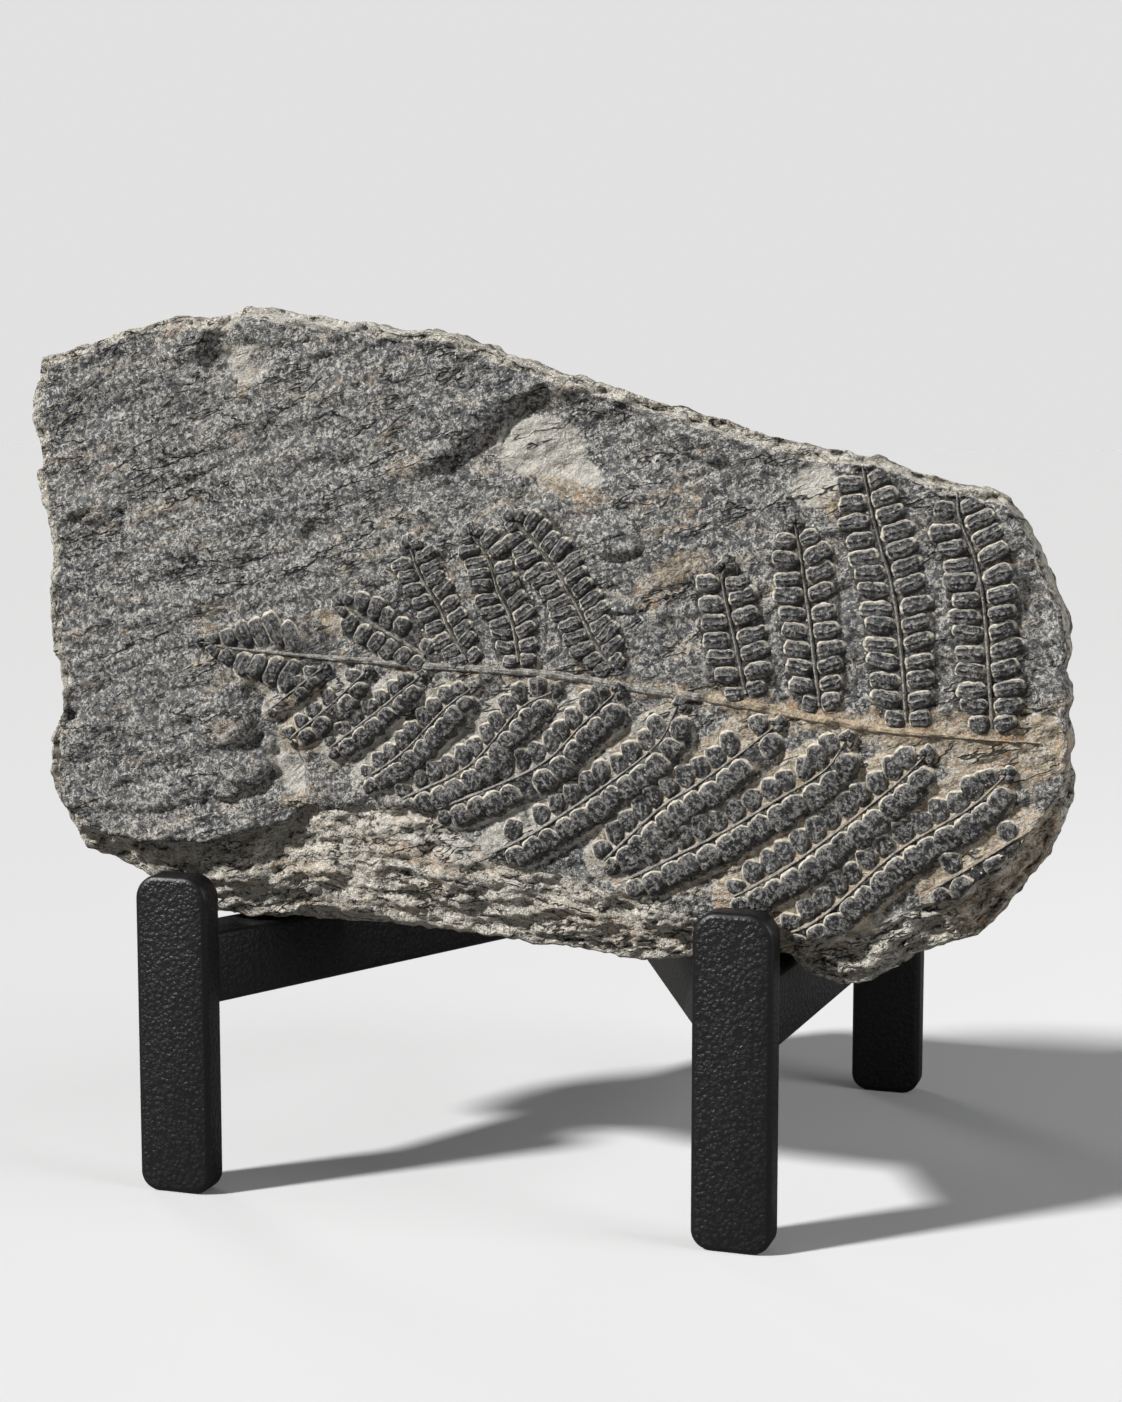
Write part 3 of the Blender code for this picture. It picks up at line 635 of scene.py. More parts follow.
@dataclass(frozen=True)
class LeafletFinish:
    """Dark carbon film on the raised leaflets, with veins along them and pale stone round their edges, and
    painted light: a painted highlight on the flanks that face the upper left, painted shade on those that face
    away, and pale edges painted stronger on the lit flanks.
    """

    dark: Colour = (0.004, 0.0043, 0.005)
    worn: Colour = (0.048, 0.049, 0.053)
    # Painted highlight for the leaflets' flanks that face the upper left.
    painted_highlight: Colour = (0.28, 0.28, 0.275)
    vein: Colour = (0.46, 0.45, 0.43)
    edge: Colour = (0.76, 0.69, 0.56)
    speck: Colour = (0.6, 0.59, 0.56)
    fineness: float = 1.15
    fleck_cover: float = 0.5
    vein_turns: float = 9.0

    def material(self, effects: Effects) -> Material:
        """Builds the material.

        Args:
            effects: The shared shader groups.
        """
        material, sheet, shader = new_finish("carbon film on leaflets", 0.45, 0.5)
        place = sheet.place()
        grain, fleck, speck, relief = effects.place_grain(sheet, place, self.fineness, self.fleck_cover)
        worn = sheet.math("MULTIPLY", grain, sheet.rise(sheet.mark("tone"), 0.0, 1.0, 0.55, 1.1))
        colour = sheet.blend(worn, self.dark, self.worn)
        lane = sheet.math("MULTIPLY_ADD", sheet.noise(place, 0.35), 0.35, sheet.mark("lane"))
        wave = sheet.math("SINE", sheet.math("MULTIPLY", lane, self.vein_turns))
        broken_off = sheet.rise(sheet.noise(place, 0.8, 2.0, 0.6), 0.44, 0.58)
        vein = sheet.math("MULTIPLY", sheet.rise(wave, 0.5, 0.98), broken_off)
        striped = sheet.rise(sheet.mark("form"), 0.0, 1.0, 0.8, 0.4)
        colour = sheet.cover(colour, self.vein, vein, striped)
        light_facing = sheet.mark("light_facing")
        # Painted highlight: flanks that face the upper left are lightened.
        painted_highlight = sheet.rise(light_facing, 0.2, 0.75, 0.0, 0.75)
        colour = sheet.cover(colour, self.painted_highlight, painted_highlight, sheet.rise(grain, 0.15, 0.7))
        fused = sheet.mark("fused")
        torn = sheet.math("MULTIPLY_ADD", fused, 0.1, sheet.noise(place, 0.5, 3.0, 0.6))
        # Painted light on the pale edges: they show fully on flanks that face the light and only faintly on
        # those in shade. The pale outline itself is the stone's own colour.
        lit = sheet.rise(light_facing, -0.55, 0.05, 0.3, 1.0)
        ragged = sheet.math("MULTIPLY", sheet.rise(torn, 0.34, 0.52), lit)
        edge = sheet.math("MULTIPLY", sheet.rise(sheet.mark("rim"), 0.08, 0.4), ragged)
        colour = sheet.cover(colour, self.edge, edge, 0.9)
        colour = sheet.cover(colour, self.vein, fleck, sheet.rise(fused, 0.0, 1.0, 0.42, 0.55))
        # Painted shade: flanks that face away from the upper left are darkened to the carbon's darkest.
        colour = sheet.blend(sheet.rise(light_facing, -0.75, -0.15, 0.9, 0.0), colour, self.dark)
        colour = sheet.cover(colour, self.speck, speck, 0.75)
        roughness = sheet.rise(grain, 0.0, 1.0, 0.36, 0.62)
        height = sheet.math("MULTIPLY_ADD", wave, sheet.math("MULTIPLY", striped, 0.14),
                            sheet.math("MULTIPLY", relief, 0.8))
        join_finish(sheet, shader, colour, roughness, height, 0.9)
        return material


@dataclass(frozen=True)
class StemFinish:
    """Pale stone along the stem and the leaves' axes, with fine lines that run along them."""

    pale: Colour = (0.56, 0.54, 0.50)
    shade: Colour = (0.085, 0.082, 0.076)
    bare: Colour = (0.07, 0.07, 0.068)
    tan: Colour = (0.60, 0.475, 0.32)
    fineness: float = 1.2
    fleck_cover: float = 0.3
    line_turns: float = 9.0

    def material(self, effects: Effects) -> Material:
        """Builds the material.

        Args:
            effects: The shared shader groups.
        """
        material, sheet, shader = new_finish("pale stem", 0.7, 0.35)
        place = sheet.place()
        grain, _, _, relief = effects.place_grain(sheet, place, self.fineness, self.fleck_cover)
        colour = sheet.blend(sheet.rise(grain, 0.1, 0.8), self.shade, self.pale)
        lane = sheet.math("MULTIPLY_ADD", sheet.noise(place, 0.3), 0.6, sheet.mark("lane"))
        wave = sheet.math("SINE", sheet.math("MULTIPLY", lane, self.line_turns))
        colour = sheet.blend(sheet.rise(wave, 0.2, 0.9, 0.0, 0.4), colour, self.shade)
        film = effects.place_film(sheet, place, "film", 0.9)
        colour = sheet.cover(colour, earthy(sheet, grain, self.tan), film, 0.85)
        bare = effects.place_film(sheet, place, "bare", 0.8)
        colour = sheet.cover(colour, self.bare, bare, 0.8)
        join_finish(sheet, shader, colour, None, sheet.math("MULTIPLY_ADD", wave, -0.05, relief), 1.0)
        return material


@dataclass(frozen=True)
class BlackCoatFinish:
    """Black powder coat with a fine pebbled grain, smooth where the bars' edges are rounded."""

    colour: Colour = (0.004, 0.004, 0.005)
    raised: Colour = (0.012, 0.012, 0.0145)
    pebble: float = 1.1

    def material(self) -> Material:
        """Builds the material."""
        material, sheet, shader = new_finish("black pebbled coat", 0.4, 0.45)
        place = sheet.place()
        warped = sheet.vector("MULTIPLY_ADD", sheet.sway(place, 0.9, 2.0), (1.2, 1.2, 1.2), place)
        cells = sheet.cells(warped, 1.0 / self.pebble, "F1").outputs["Distance"]
        domes = sheet.rise(cells, 0.1, 0.75, 1.0, 0.0)
        fine = sheet.noise(place, 3.0)
        flat = sheet.mark("flat")
        colour = sheet.blend(sheet.math("MULTIPLY", domes, flat), self.colour, self.raised)
        roughness = sheet.math("MULTIPLY_ADD", fine, 0.12, 0.38)
        relief = sheet.math("MULTIPLY_ADD", domes, 0.16, sheet.math("MULTIPLY", fine, 0.07))
        height = sheet.math("MULTIPLY", relief, sheet.rise(flat, 0.0, 1.0, 0.15, 1.0))
        join_finish(sheet, shader, colour, roughness, height, 1.0)
        return material


@dataclass(frozen=True)
class FloorFinish:
    """Plain pale floor."""

    colour: Colour = (0.70, 0.705, 0.72)
    cast: Colour = (0.2, 0.198, 0.195)

    def material(self) -> Material:
        """Builds the material, which looks pale but throws little light back up."""
        material, sheet, shader = new_finish("pale floor", 0.85, 0.0)
        straight = sheet.add("ShaderNodeLightPath").outputs["Is Camera Ray"]
        sheet.tree.links.new(sheet.blend(straight, self.cast, self.colour), shader.inputs["Base Color"])
        return material


@dataclass(frozen=True)
class Form:
    """A hollow, a lump or a stained patch of the face, round a point of the view.

    Its half sizes are in millimetres, its turn is in degrees, and its amount is a height in millimetres or
    a share of stain.
    """

    name: str
    middle: Point
    half: Point
    turn: float
    amount: float

    def spread(self, view: FaceView, depth: float, across: np.ndarray, up: np.ndarray,
               soft: tuple[float, float] = (0.55, 1.15)) -> np.ndarray:
        """Returns the form's amount at each place.

        Args:
            view: The view that its middle is given in.
            depth: The y of the face.
            across: The places' x.
            up: The places' z.
            soft: Where the amount starts to fade and where it ends, as shares of the half sizes.
        """
        centre = view.spot(self.middle, depth)
        angle = math.radians(self.turn)
        dx = across - centre[0]
        dz = up - centre[2]
        long_way = (dx * math.cos(angle) + dz * math.sin(angle)) / self.half[0]
        short_way = (dz * math.cos(angle) - dx * math.sin(angle)) / self.half[1]
        return self.amount * (1.0 - smooth_step(np.hypot(long_way, short_way), *soft))


@dataclass(frozen=True)
class Scarp:
    """A small broken step of the face: the stone to the right of its line lies lower.

    Its drop and its reach, over which the drop fades out, are in millimetres.
    """

    name: str
    points: tuple[Point, ...]
    drop: float
    reach: float


class LeafletForm(Enum):
    """How a side leaf's leaflets are shaped."""

    LOAF = 0
    ROUND = 1


@dataclass(frozen=True)
class SideLeaf:
    """One side leaf of the frond.

    Half width and leaflet pitch are in millimetres, and so is the run, widening, over which the leaf gets
    its full width. The leaflets lean by degrees from square to the axis. Worn is a share of lost leaflets,
    and extra is what a leaflet's width has above its pitch, as a share of the pitch. The tip's and the upper
    leaves' axes start at their outer end, the lower leaves' axes start by the stem.
    """

    name: str
    half_width: float
    points: tuple[Point, ...]
    form: LeafletForm = LeafletForm.ROUND
    pitch: float = 3.9
    lean: float = 10.0
    worn: float = 0.0
    widening: float = 8.0
    extra: float = 0.0

    @property
    def ridged(self) -> bool:
        """Tells whether it is a lower leaf, whose lower right row of leaflets is a raised, fused ridge."""
        return self.name.startswith("lower")

    def reach(self, run: np.ndarray, length: float) -> np.ndarray:
        """Returns the half width in millimetres at each run along the axis."""
        ending = 8.0 if self.name == "tip" else 5.5
        opening = (run + 2.4) / self.widening
        closing = (0.5 * (length - run) + ending) / 8.0
        return self.half_width * np.clip(np.minimum(opening, closing), 0.1, 1.0)


STEM = (
    (272, 653), (310, 656), (410, 665), (541, 674), (648, 691), (742, 705), (866, 727), (969, 738),
    (1040, 744),
)

SIDE_LEAVES = (
    SideLeaf("tip", 10.8, ((200, 642), (238, 649), (270, 652), (300, 655)),
             pitch=4.2, lean=30.0, widening=22.0, extra=0.1),
    SideLeaf("upper 1", 6.8, ((345, 606), (372, 624), (400, 640), (424, 656)),
             pitch=3.6, worn=0.1, widening=5.0, extra=0.16),
    SideLeaf("upper 2", 6.5, ((411, 548), (420, 574), (437, 604), (449, 630), (466, 660)),
             LeafletForm.LOAF, 3.1, worn=0.06, widening=5.0, extra=0.22),
    SideLeaf("upper 3", 6.6, ((474, 536), (490, 562), (497, 590), (511, 621), (518, 662)),
             LeafletForm.LOAF, 3.0, worn=0.04, widening=5.0, extra=0.22),
    SideLeaf("upper 4", 7.4, ((516, 522), (535, 544), (559, 576), (573, 600), (590, 634), (610, 668)),
             LeafletForm.LOAF, 3.1, widening=5.0, extra=0.22),
    SideLeaf("upper 5", 8.0, ((726, 567), (722, 580), (728, 610), (736, 649), (745, 694)), LeafletForm.LOAF,
             extra=0.1),
    SideLeaf("upper 6", 7.6, ((795, 525), (800, 552), (804, 581), (811, 635), (819, 706)), LeafletForm.LOAF,
             extra=0.1),
    SideLeaf("upper 7", 8.4, ((862, 465), (870, 507), (879, 542), (892, 588), (900, 640), (906, 720)),
             LeafletForm.LOAF, extra=0.1),
    SideLeaf("upper 8", 8.2, ((956, 492), (960, 520), (974, 556), (983, 600), (987, 650), (992, 728)),
             LeafletForm.LOAF, extra=0.1),
    SideLeaf("lower 1", 3.8, ((325, 666), (300, 686), (268, 710)), worn=0.3),
    SideLeaf("lower 2", 4.9, ((366, 672), (330, 706), (288, 740)), worn=0.3),
    SideLeaf("lower 3", 5.2, ((420, 676), (384, 706), (330, 748))),
    SideLeaf("lower 4", 6.0, ((472, 688), (444, 710), (404, 752), (366, 778))),
    SideLeaf("lower 5", 6.7, ((552, 692), (519, 710), (471, 764), (404, 798))),
    SideLeaf("lower 6", 7.0, ((616, 692), (581, 726), (538, 766), (440, 808)), pitch=4.1, worn=0.1),
    SideLeaf("lower 7", 7.0, ((677, 706), (659, 742), (610, 782), (541, 828), (494, 852)),
             pitch=4.2, worn=0.35),
    SideLeaf("lower 8", 7.2, ((775, 726), (734, 758), (696, 785), (660, 808), (604, 860)),
             pitch=4.3, worn=0.1),
    SideLeaf("lower 9", 7.3, ((846, 741), (825, 770), (778, 799), (719, 834), (630, 878)), pitch=4.5),
    SideLeaf("lower 10", 7.4, ((925, 756), (896, 784), (837, 831), (787, 867), (734, 896)), pitch=4.6),
    SideLeaf("lower 11", 7.3, ((1005, 776), (969, 808), (896, 852), (825, 914), (790, 933)), pitch=4.6),
    SideLeaf("lower 12", 6.2, ((1046, 822), (1020, 836), (984, 858), (934, 888)), pitch=4.5, worn=0.3),
)


@dataclass(frozen=True)
class Ledges:
    """The broken ledges between the face and the silhouette, with a value for each place of the front.

    The bands count the thin beds down the break. Jut tells how far a bed stands out, and drop is the share
    of the way back to the silhouette. Broken is 0 on the face and 1 on the break.
    """

    bands: np.ndarray
    jut: np.ndarray
    drop: np.ndarray
    broken: np.ndarray


@dataclass
class ShaleSlab:
    """The slab: one closed skin, finely cut on the side of the frond and coarser at the back.

    Sizes are in millimetres. The undercuts are shares of the way back from the face to the silhouette.
    """

    view: FaceView
    frame: StandFrame
    face_y: float = 10.4
    rim_y: dict[str, float] = field(default_factory=lambda: {
        "top": 15.0, "foot": 18.5, "left": 12.5, "right": 18.0})
    depth_foot: float = 36.0
    depth_top: float = 27.0
    depth_height: float = 130.0
    depth_right_loss: float = 7.0
    depth_right_from: float = 40.0
    depth_right_over: float = 100.0
    back_inset: float = 7.0
    middle: Place = (18.0, 0.0, 138.0)
    rim_step: float = 0.7
    ledge_width: float = 2.3
    most_ledges: float = 8.0
    most_relief: float = 4.0
    bed: float = 2.4
    rail_top: float = 64.0
    rail_width: float = 15.5
    rail_angle: float = math.radians(25.25)
    post_depth: float = 8.0
    post_height: float = 79.0
    post_spacing: float = 140.5
    rear_post: Point = (78.0, 144.0)
    clearance: float = 0.3
    rail_margin: float = 3.0
    post_margin: float = 4.0
    seat_level: float = 74.0
    seat_right: float = 84.0
    cells_across: int = 336
    cells_up: int = 207
    cells_deep: int = 14
    coarser: int = 3
    leaf_ground: float = 0.35
    leaf_ridge: float = 1.8
    grain_turn: float = math.radians(18.0)
    grain_stretch: float = 1.9
    undercut_foot: float = 0.28
    undercut_left: float = 0.85
    recess_left: float = 6.0

    RIM_TOP = (
        (43, 357), (82, 346), (136, 327), (186, 317), (204, 319), (232, 315), (250, 307), (268, 306),
        (293, 312), (336, 319), (382, 327), (446, 331), (475, 341), (525, 360), (576, 375), (623, 389),
        (709, 417), (780, 439), (825, 450), (883, 456), (904, 468), (940, 477), (990, 488), (1008, 499),
    )
    RIM_RIGHT = (
        (978, 935), (1014, 896), (1046, 858), (1071, 808), (1075, 778), (1070, 758), (1075, 740), (1071, 717),
        (1074, 693), (1068, 672), (1071, 640), (1067, 610), (1055, 585), (1040, 545), (1026, 517), (1008, 499),
    )
    RIM_FOOT = (
        (71, 818), (88, 848), (120, 858), (150, 876), (222, 908), (252, 913), (292, 913), (305, 904),
        (332, 908), (392, 918), (431, 926), (486, 934), (543, 944), (590, 949), (644, 961), (690, 957),
        (740, 950), (784, 952), (804, 970), (843, 985), (860, 985), (896, 967), (916, 952), (949, 943),
        (978, 935),
    )
    RIM_LEFT = (
        (71, 818), (57, 793), (50, 768), (53, 737), (63, 711), (63, 686), (55, 647), (50, 596), (54, 551),
        (50, 530), (37, 480), (43, 462), (34, 423), (33, 405), (43, 357),
    )
    FACE_RING = (
        (50, 366), (140, 336), (200, 330), (218, 342), (232, 326), (262, 320), (300, 324), (382, 340),
        (446, 347), (520, 374), (576, 391), (666, 419), (741, 442), (825, 466), (883, 470), (922, 490),
        (960, 496), (1000, 506), (1018, 522), (1032, 545), (1048, 588), (1063, 640), (1066, 690), (1066, 740),
        (1062, 786), (1036, 822), (1000, 862), (955, 897), (920, 906), (884, 920), (837, 935), (779, 941),
        (690, 915), (629, 895), (584, 881), (541, 871), (487, 857), (471, 839), (437, 822), (432, 812),
        (391, 806), (325, 805), (297, 807), (281, 824), (238, 832), (202, 842), (154, 841), (112, 838),
        (90, 826), (62, 800), (60, 737), (69, 686), (62, 640), (57, 596), (61, 551), (57, 530), (45, 480),
        (50, 448), (42, 405),
    )
    FORMS = (
        Form("basin", (555, 440), (25.0, 11.0), -6.0, -2.4),
        Form("basin floor", (548, 450), (13.0, 7.0), -10.0, -0.8),
        Form("step above the basin", (462, 432), (13.0, 4.0), 38.0, 1.5),
        Form("lens chip", (690, 444), (8.5, 3.0), -24.0, 2.0),
        Form("chip beside the lens", (742, 470), (14.0, 6.0), -18.0, -1.2),
        Form("pale chip", (815, 486), (6.0, 5.0), 30.0, -1.4),
        Form("top notch", (213, 350), (4.6, 8.5), -8.0, -2.6),
        Form("notch shoulder", (242, 366), (8.0, 7.0), 40.0, -1.4),
        Form("upper left ledge", (85, 512), (9.0, 3.0), -14.0, 1.0),
        Form("middle left ledge", (322, 522), (8.5, 2.4), -8.0, 1.0),
        Form("island of stone", (616, 536), (10.0, 5.5), 14.0, 1.9),
        Form("lower left lump", (222, 728), (9.0, 6.5), 20.0, 2.5),
        Form("lower left knob", (240, 768), (7.0, 5.5), -10.0, 2.3),
        Form("lower left hollow", (284, 766), (5.0, 9.0), 24.0, -2.5),
        Form("dip under the tip", (262, 690), (6.0, 5.0), 20.0, -0.9),
        Form("hollow beside upper 5", (684, 610), (5.0, 9.0), -6.0, -1.3),
        Form("lower left face", (120, 770), (16.0, 9.0), 0.0, -1.0),
        Form("right shoulder", (1030, 640), (6.0, 22.0), -8.0, -1.2),
    )
    SCARPS = (
        Scarp("fissure left of the basin", ((549, 380), (515, 398), (486, 423), (460, 447), (433, 472)),
              -1.7, 5.0),
        Scarp("basin's left wall", ((548, 392), (512, 412), (496, 436), (494, 462)), -1.3, 7.0),
        Scarp("line under the top edge", ((592, 394), (616, 404), (642, 419)), 0.9, 3.0),
        Scarp("crack below the notch", ((214, 330), (222, 356), (233, 388), (258, 430)), 0.6, 2.2),
        Scarp("crack at the right", ((1070, 716), (1046, 726), (1030, 740), (1014, 744)), 1.6, 3.0),
        Scarp("ledge under the island", ((574, 556), (606, 566), (640, 556), (652, 530)), -1.0, 3.0),
        Scarp("ledge at the upper left", ((60, 521), (84, 512), (108, 508), (132, 511)), 1.1, 5.0),
        Scarp("ledge at the middle left", ((296, 524), (320, 520), (346, 527)), 1.1, 4.0),
        Scarp("curl beside the lump", ((182, 700), (190, 724), (214, 742), (246, 744), (262, 730)), 1.8, 3.0),
        Scarp("ledge under the knob", ((196, 790), (224, 798), (252, 786), (268, 764)), 2.1, 4.0),
        Scarp("break in the lower left", ((100, 806), (150, 812), (204, 800), (250, 806), (284, 790)),
              0.9, 4.0),
        Scarp("ledge above the frond", ((560, 480), (600, 492), (646, 480), (664, 462)), 0.8, 4.0),
        Scarp("ledge at the right", ((1004, 556), (1020, 580), (1034, 612), (1040, 640)), -0.8, 4.0),
    )
    SCARS = (
        Form("basin scar", (536, 447), (12.5, 8.0), -6.0, 1.0),
        Form("basin scar's tail", (572, 474), (8.0, 4.0), -16.0, 0.9),
        Form("pale chip", (814, 486), (6.0, 5.5), 40.0, 0.9),
        Form("pale spot by the notch", (240, 362), (6.0, 8.5), 50.0, 0.62),
        Form("top edge", (330, 322), (24.0, 2.6), -6.0, 0.8),
        Form("streak above the tip", (352, 612), (7.0, 2.4), 24.0, 0.7),
        Form("pale hollow at the lower left", (282, 766), (5.0, 9.0), 30.0, 0.7),
        Form("pale lip at the foot", (425, 846), (16.0, 7.0), -10.0, 0.8),
        Form("bright corner under the leaves", (742, 908), (7.0, 5.0), 40.0, 0.75),
        Form("right shoulder", (960, 762), (9.0, 6.0), -10.0, 0.5),
        Form("lower right flake", (870, 930), (16.0, 4.0), 14.0, 0.6),
    )
    FILMS = (
        Form("under the notch", (238, 384), (5.0, 9.0), -20.0, 0.55),
        Form("basin's lower edge", (560, 486), (20.0, 3.0), -12.0, 0.6),
        Form("beside the lens", (684, 496), (9.0, 9.0), 50.0, 0.55),
        Form("between chip and upper 7", (830, 500), (7.0, 8.0), 60.0, 0.5),
        Form("by the island", (578, 512), (9.0, 6.0), -30.0, 0.5),
        Form("below the island", (656, 590), (11.0, 8.0), 60.0, 0.62),
        Form("beside upper 5", (690, 560), (8.0, 5.0), 30.0, 0.6),
        Form("above the tip", (330, 622), (10.0, 5.0), 20.0, 0.5),
        Form("under the tip", (250, 690), (8.0, 6.0), 20.0, 0.4),
        Form("hollow at the lower left", (290, 742), (7.0, 10.0), 50.0, 0.6),
        Form("lip at the lower left", (300, 800), (12.0, 4.0), 10.0, 0.65),
        Form("foot, middle", (410, 856), (20.0, 4.0), -12.0, 0.55),
        Form("foot, left", (290, 872), (18.0, 5.0), -8.0, 0.4),
        Form("foot, right", (600, 926), (26.0, 4.0), -12.0, 0.35),
        Form("right break", (1040, 850), (10.0, 24.0), 26.0, 0.5),
        Form("right break, low", (990, 910), (16.0, 8.0), 40.0, 0.5),
        Form("between the lower right leaves", (860, 830), (46.0, 20.0), 32.0, 0.4),
        Form("root end of the stem", (1010, 750), (22.0, 8.0), -10.0, 0.55),
        Form("far right stone", (1044, 742), (6.0, 9.0), 10.0, 0.6),
    )

    def rim_lines(self) -> dict[str, np.ndarray]:
        """Returns the four lines of the slab's silhouette, meeting at their ends."""
        sides = {"top": self.RIM_TOP, "right": self.RIM_RIGHT, "foot": self.RIM_FOOT, "left": self.RIM_LEFT}
        lines = {side: self.view.line(points, self.rim_y[side]) for side, points in sides.items()}
        at = np.array([point[0] for point in self.RIM_FOOT])
        deeper = self.recess_left * smooth_step(at, 60.0, 125.0) * smooth_step(-at, -400.0, -290.0)
        lines["foot"] = np.array([self.view.spot(point, self.rim_y["foot"] + more)
                                  for point, more in zip(self.RIM_FOOT, deeper)])
        lines["right"][[0, -1]] = lines["foot"][-1], lines["top"][-1]
        lines["left"][[0, -1]] = lines["foot"][0], lines["top"][0]
        for number, (side, line) in enumerate(lines.items()):
            share = np.linspace(0.0, 1.0, int(run_along(line)[-1] / self.rim_step) + 2)
            fine = along(line, share)
            for axis in (0, 2):
                layer = 30 + number + axis
                chips = 0.75 * lumps(fine, 5.0, layer, 2) + 0.4 * lumps(fine, 1.7, layer + 6, 2)
                fine[:, axis] += chips * smooth_step(np.sin(np.pi * share), 0.0, 0.08)
            lines[side] = fine
        return lines

    def rear_lines(self, rim: dict[str, np.ndarray], share: float, inset: float) -> dict[str, np.ndarray]:
        """Returns the four lines of a level behind the silhouette.

        Args:
            rim: The silhouette's lines.
            share: How far back the level lies, as a share of the slab's depth.
            inset: How far it is drawn in, as a share of the back's inset.
        """
        level = {}
        for side, line in rim.items():
            out = line - np.array(self.middle)
            reach = np.hypot(out[:, 0], out[:, 2])
            place = line - out * (self.back_inset * inset / reach)[:, None]
            rise = np.clip((line[:, 2] - self.rail_top) / self.depth_height, 0.0, 1.0)
            right = np.clip((line[:, 0] - self.depth_right_from) / self.depth_right_over, 0.0, 1.0)
            depth = self.depth_foot + (self.depth_top - self.depth_foot) * rise
            depth -= self.depth_right_loss * right
            place[:, 1] = self.face_y + depth * share
            settle = (line[:, 2] < self.seat_level) & (line[:, 0] < self.seat_right)
            place[:, 2] = np.where(settle, self.rail_top + self.clearance, place[:, 2])
            level[side] = place
        return level

    @staticmethod
    def patch(lines: dict[str, np.ndarray], u: np.ndarray, w: np.ndarray) -> np.ndarray:
        """Returns places on the Coons patch between four lines, for shares u across and w up."""
        u_col = u[:, None]
        w_col = w[:, None]
        foot, top = lines["foot"], lines["top"]
        ruled = (1 - w_col) * along(foot, u) + w_col * along(top, u)
        ruled += (1 - u_col) * along(lines["left"], w) + u_col * along(lines["right"], w)
        return ruled - ((1 - u_col) * (1 - w_col) * foot[0] + u_col * (1 - w_col) * foot[-1]
                        + (1 - u_col) * w_col * top[0] + u_col * w_col * top[-1])

    def leaf_ground_at(self, across: np.ndarray, up: np.ndarray) -> tuple[np.ndarray, ...]:
        """Works out the ground that the leaflets lie on.

        Args:
            across: The places' x.
            up: The places' z.

        Returns:
            The ground's height, how far each place is in a side leaf, 0 to 1, and its share of carbon.
        """
        cover, ridge, carbon = (np.zeros_like(across) for _ in range(3))
        for leaf in SIDE_LEAVES:
            line = smooth_line(self.view.line(leaf.points, self.face_y), 6)
            distance, run, length = from_line(across, up, line)
            reach = leaf.reach(run, length)
            here = 1.0 - smooth_step(np.abs(distance) / reach, 0.8, 1.15)
            cover = np.maximum(cover, here)
            share = 0.6 if leaf.name == "tip" else 0.35 if leaf.ridged else 0.95 - 0.4 * leaf.worn
            carbon = np.maximum(carbon, here * share)
            if leaf.ridged:
                ends = smooth_step(np.minimum(run, length - run + 1.0), 0.0, 4.0)
                out = distance / reach
                slope = (1.0 - 0.5 * np.clip(out, 0.0, 1.0)) * (1.0 - smooth_step(out, 0.85, 1.1))
                ridge = np.maximum(ridge, ends * slope * smooth_step(distance, -0.45, 0.35))
        carbon = np.clip(carbon + 0.6 * ridge, 0.0, 1.0)
        return self.leaf_ground * cover + self.leaf_ridge * ridge, cover, carbon

    def slanted(self, places: np.ndarray) -> np.ndarray:
        """Returns places of the face turned and drawn out along the stone's own grain."""
        cosine, sine = math.cos(self.grain_turn), math.sin(self.grain_turn)
        long_way = places[:, 0] * cosine + places[:, 2] * sine
        short_way = places[:, 2] * cosine - places[:, 0] * sine
        return np.stack((long_way / self.grain_stretch, np.zeros_like(long_way), short_way), axis=1)

    def bed_levels(self, places: np.ndarray, size: float, seed_step: float) -> np.ndarray:
        """Returns the level of each place among thin beds of a size, whose edges lie at whole numbers."""
        spread = places * np.array((1.0, 0.0, 1.5))
        return 2.6 * lumps(spread, size, seed_step, 3) + 0.5 * lumps(spread, size / 5.0, seed_step + 0.5, 2)

    def terraces(self, places: np.ndarray, size: float, rise: float, seed_step: float) -> np.ndarray:
        """Returns thin beds with broken edges, as heights.

        Args:
            places: The places of the face.
            size: How wide a bed is.
            rise: How thick it is.
            seed_step: Moves the beds.
        """
        level = self.bed_levels(places, size, seed_step)
        step = np.floor(level)
        return rise * (step + smooth_step(level - step, 0.84, 1.0))

    def beyond_face(self, places: np.ndarray) -> np.ndarray:
        """Returns how far each place lies beyond the face's ragged edge, negative on the face."""
        across, up = places[:, 0], places[:, 2]
        ring = self.view.line(self.FACE_RING, self.face_y)
        ring = smooth_line(np.vstack((ring, ring[:1])), 4)
        to_edge = np.abs(from_line(across, up, ring)[0])
        flat = places * FLAT
        jag = 0.9 * lumps(flat, 6.0, 7, 3) + 0.35 * lumps(flat, 2.0, 8, 2)
        return np.where(inside(across, up, ring[:-1]), -to_edge, to_edge) + jag

